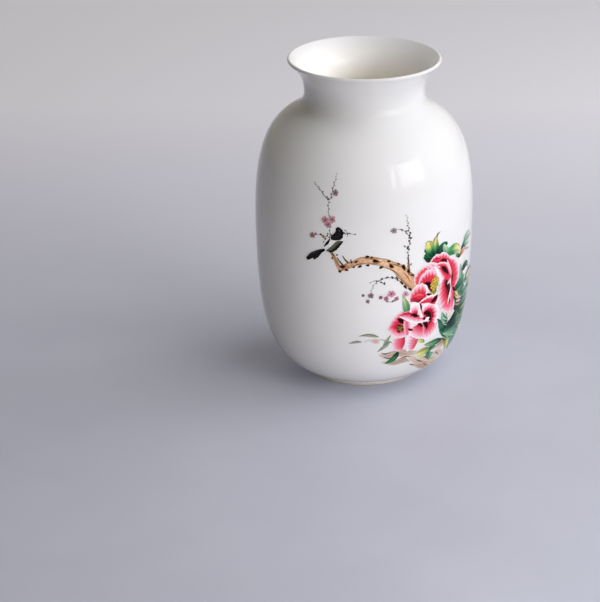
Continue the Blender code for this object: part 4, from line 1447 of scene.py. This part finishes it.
def build_lights():
    """Daylight from the right and from above, and the two panes of a window that show in the glaze.
    Weaker lamps fill the lower front, the left, the back and the mouth. Each has its azimuth,
    elevation, distance, size, power and colour."""
    daylight, neutral = (0.97, 0.965, 1.0), (0.99, 0.98, 1.0)
    warm, golden = (1.0, 0.91, 0.85), (1.0, 0.9, 0.74)
    soft_light("side_light", 100, 22, 1.6, (1.1, 0.8), 5.4, daylight)
    soft_light("front_light", 38, 17, 1.6, (1.0, 0.62), 4.65, daylight)
    soft_light("high_light", 68, 65, 1.9, (1.8, 1.6), 20.0, daylight)
    soft_light("narrow_pane", 29.5, 17, 1.6, (0.13, 0.62), 0.75, daylight, True)
    soft_light("wide_pane", 51, 17, 1.6, (0.8, 0.62), 4.0, daylight, True)
    soft_light("left_fill", -4, -14, 0.6, (0.3, 0.1), 0.088, warm, level=0.18, spread=80)
    soft_light("low_fill", 22, -3, 0.6, (0.3, 0.1), 0.13, neutral, level=0.07, spread=80)
    soft_light("left_sky", -60, 62, 1.9, (1.2, 1.2), 0.9, golden)
    soft_light("back_fill", 182, 13, 3.2, (2.0, 1.0), 11.0, daylight)
    soft_light("edge_light", 125, 30, 1.6, (0.8, 0.8), 4.2, daylight)
    soft_light("mouth_light", 66, 56, 0.7, (0.06, 0.06), 0.02, daylight, level=0.295, spread=6)
    bpy.context.scene.cycles.diffuse_bounces = BOUNCES


def build_surround():
    """Warm light from all round, dim on the vase and brighter in its mirror images. The camera sees it
    as a pale neutral backdrop."""
    world = bpy.data.worlds.new("studio_surround")
    bpy.context.scene.world = world
    world.use_nodes = True
    tree = world.node_tree
    surround = tree.nodes["Background"]
    rays = tree.nodes.new("ShaderNodeLightPath")
    warm, neutral = (1.0, 0.92, 0.75), (0.97, 0.97, 1.0)
    tint = mixed(tree, rays.outputs["Is Camera Ray"], warm, neutral)
    tree.links.new(tint, surround.inputs["Color"])
    strength = stretched(tree, seen_or_mirrored(tree), 0, 1, *SURROUND_STRENGTH)
    tree.links.new(strength, surround.inputs["Strength"])


def build_camera():
    """A camera that looks along +Y, pitched down and slightly rolled."""
    settings = bpy.data.cameras.new("camera")
    settings.sensor_width = SENSOR
    settings.lens = SENSOR * FOCAL_LENGTH / PICTURE_HEIGHT
    settings.clip_end = FAR_CLIP
    camera = bpy.data.objects.new("camera", settings)
    forward = Vector((0, math.cos(CAMERA_PITCH), -math.sin(CAMERA_PITCH)))
    level_up = Vector((0, math.sin(CAMERA_PITCH), math.cos(CAMERA_PITCH)))
    level_right = Vector((1, 0, 0))
    right = math.cos(CAMERA_ROLL) * level_right - math.sin(CAMERA_ROLL) * level_up
    up = math.cos(CAMERA_ROLL) * level_up + math.sin(CAMERA_ROLL) * level_right
    turn = Matrix((right, up, -forward)).transposed().to_4x4()
    camera.matrix_world = Matrix.Translation(CAMERA_PLACE) @ turn
    bpy.context.scene.collection.objects.link(camera)
    bpy.context.scene.camera = camera


bpy.context.scene.view_settings.view_transform = "Standard"
build_camera()
build_body()
build_painting()
build_floor()
build_lights()
build_surround()
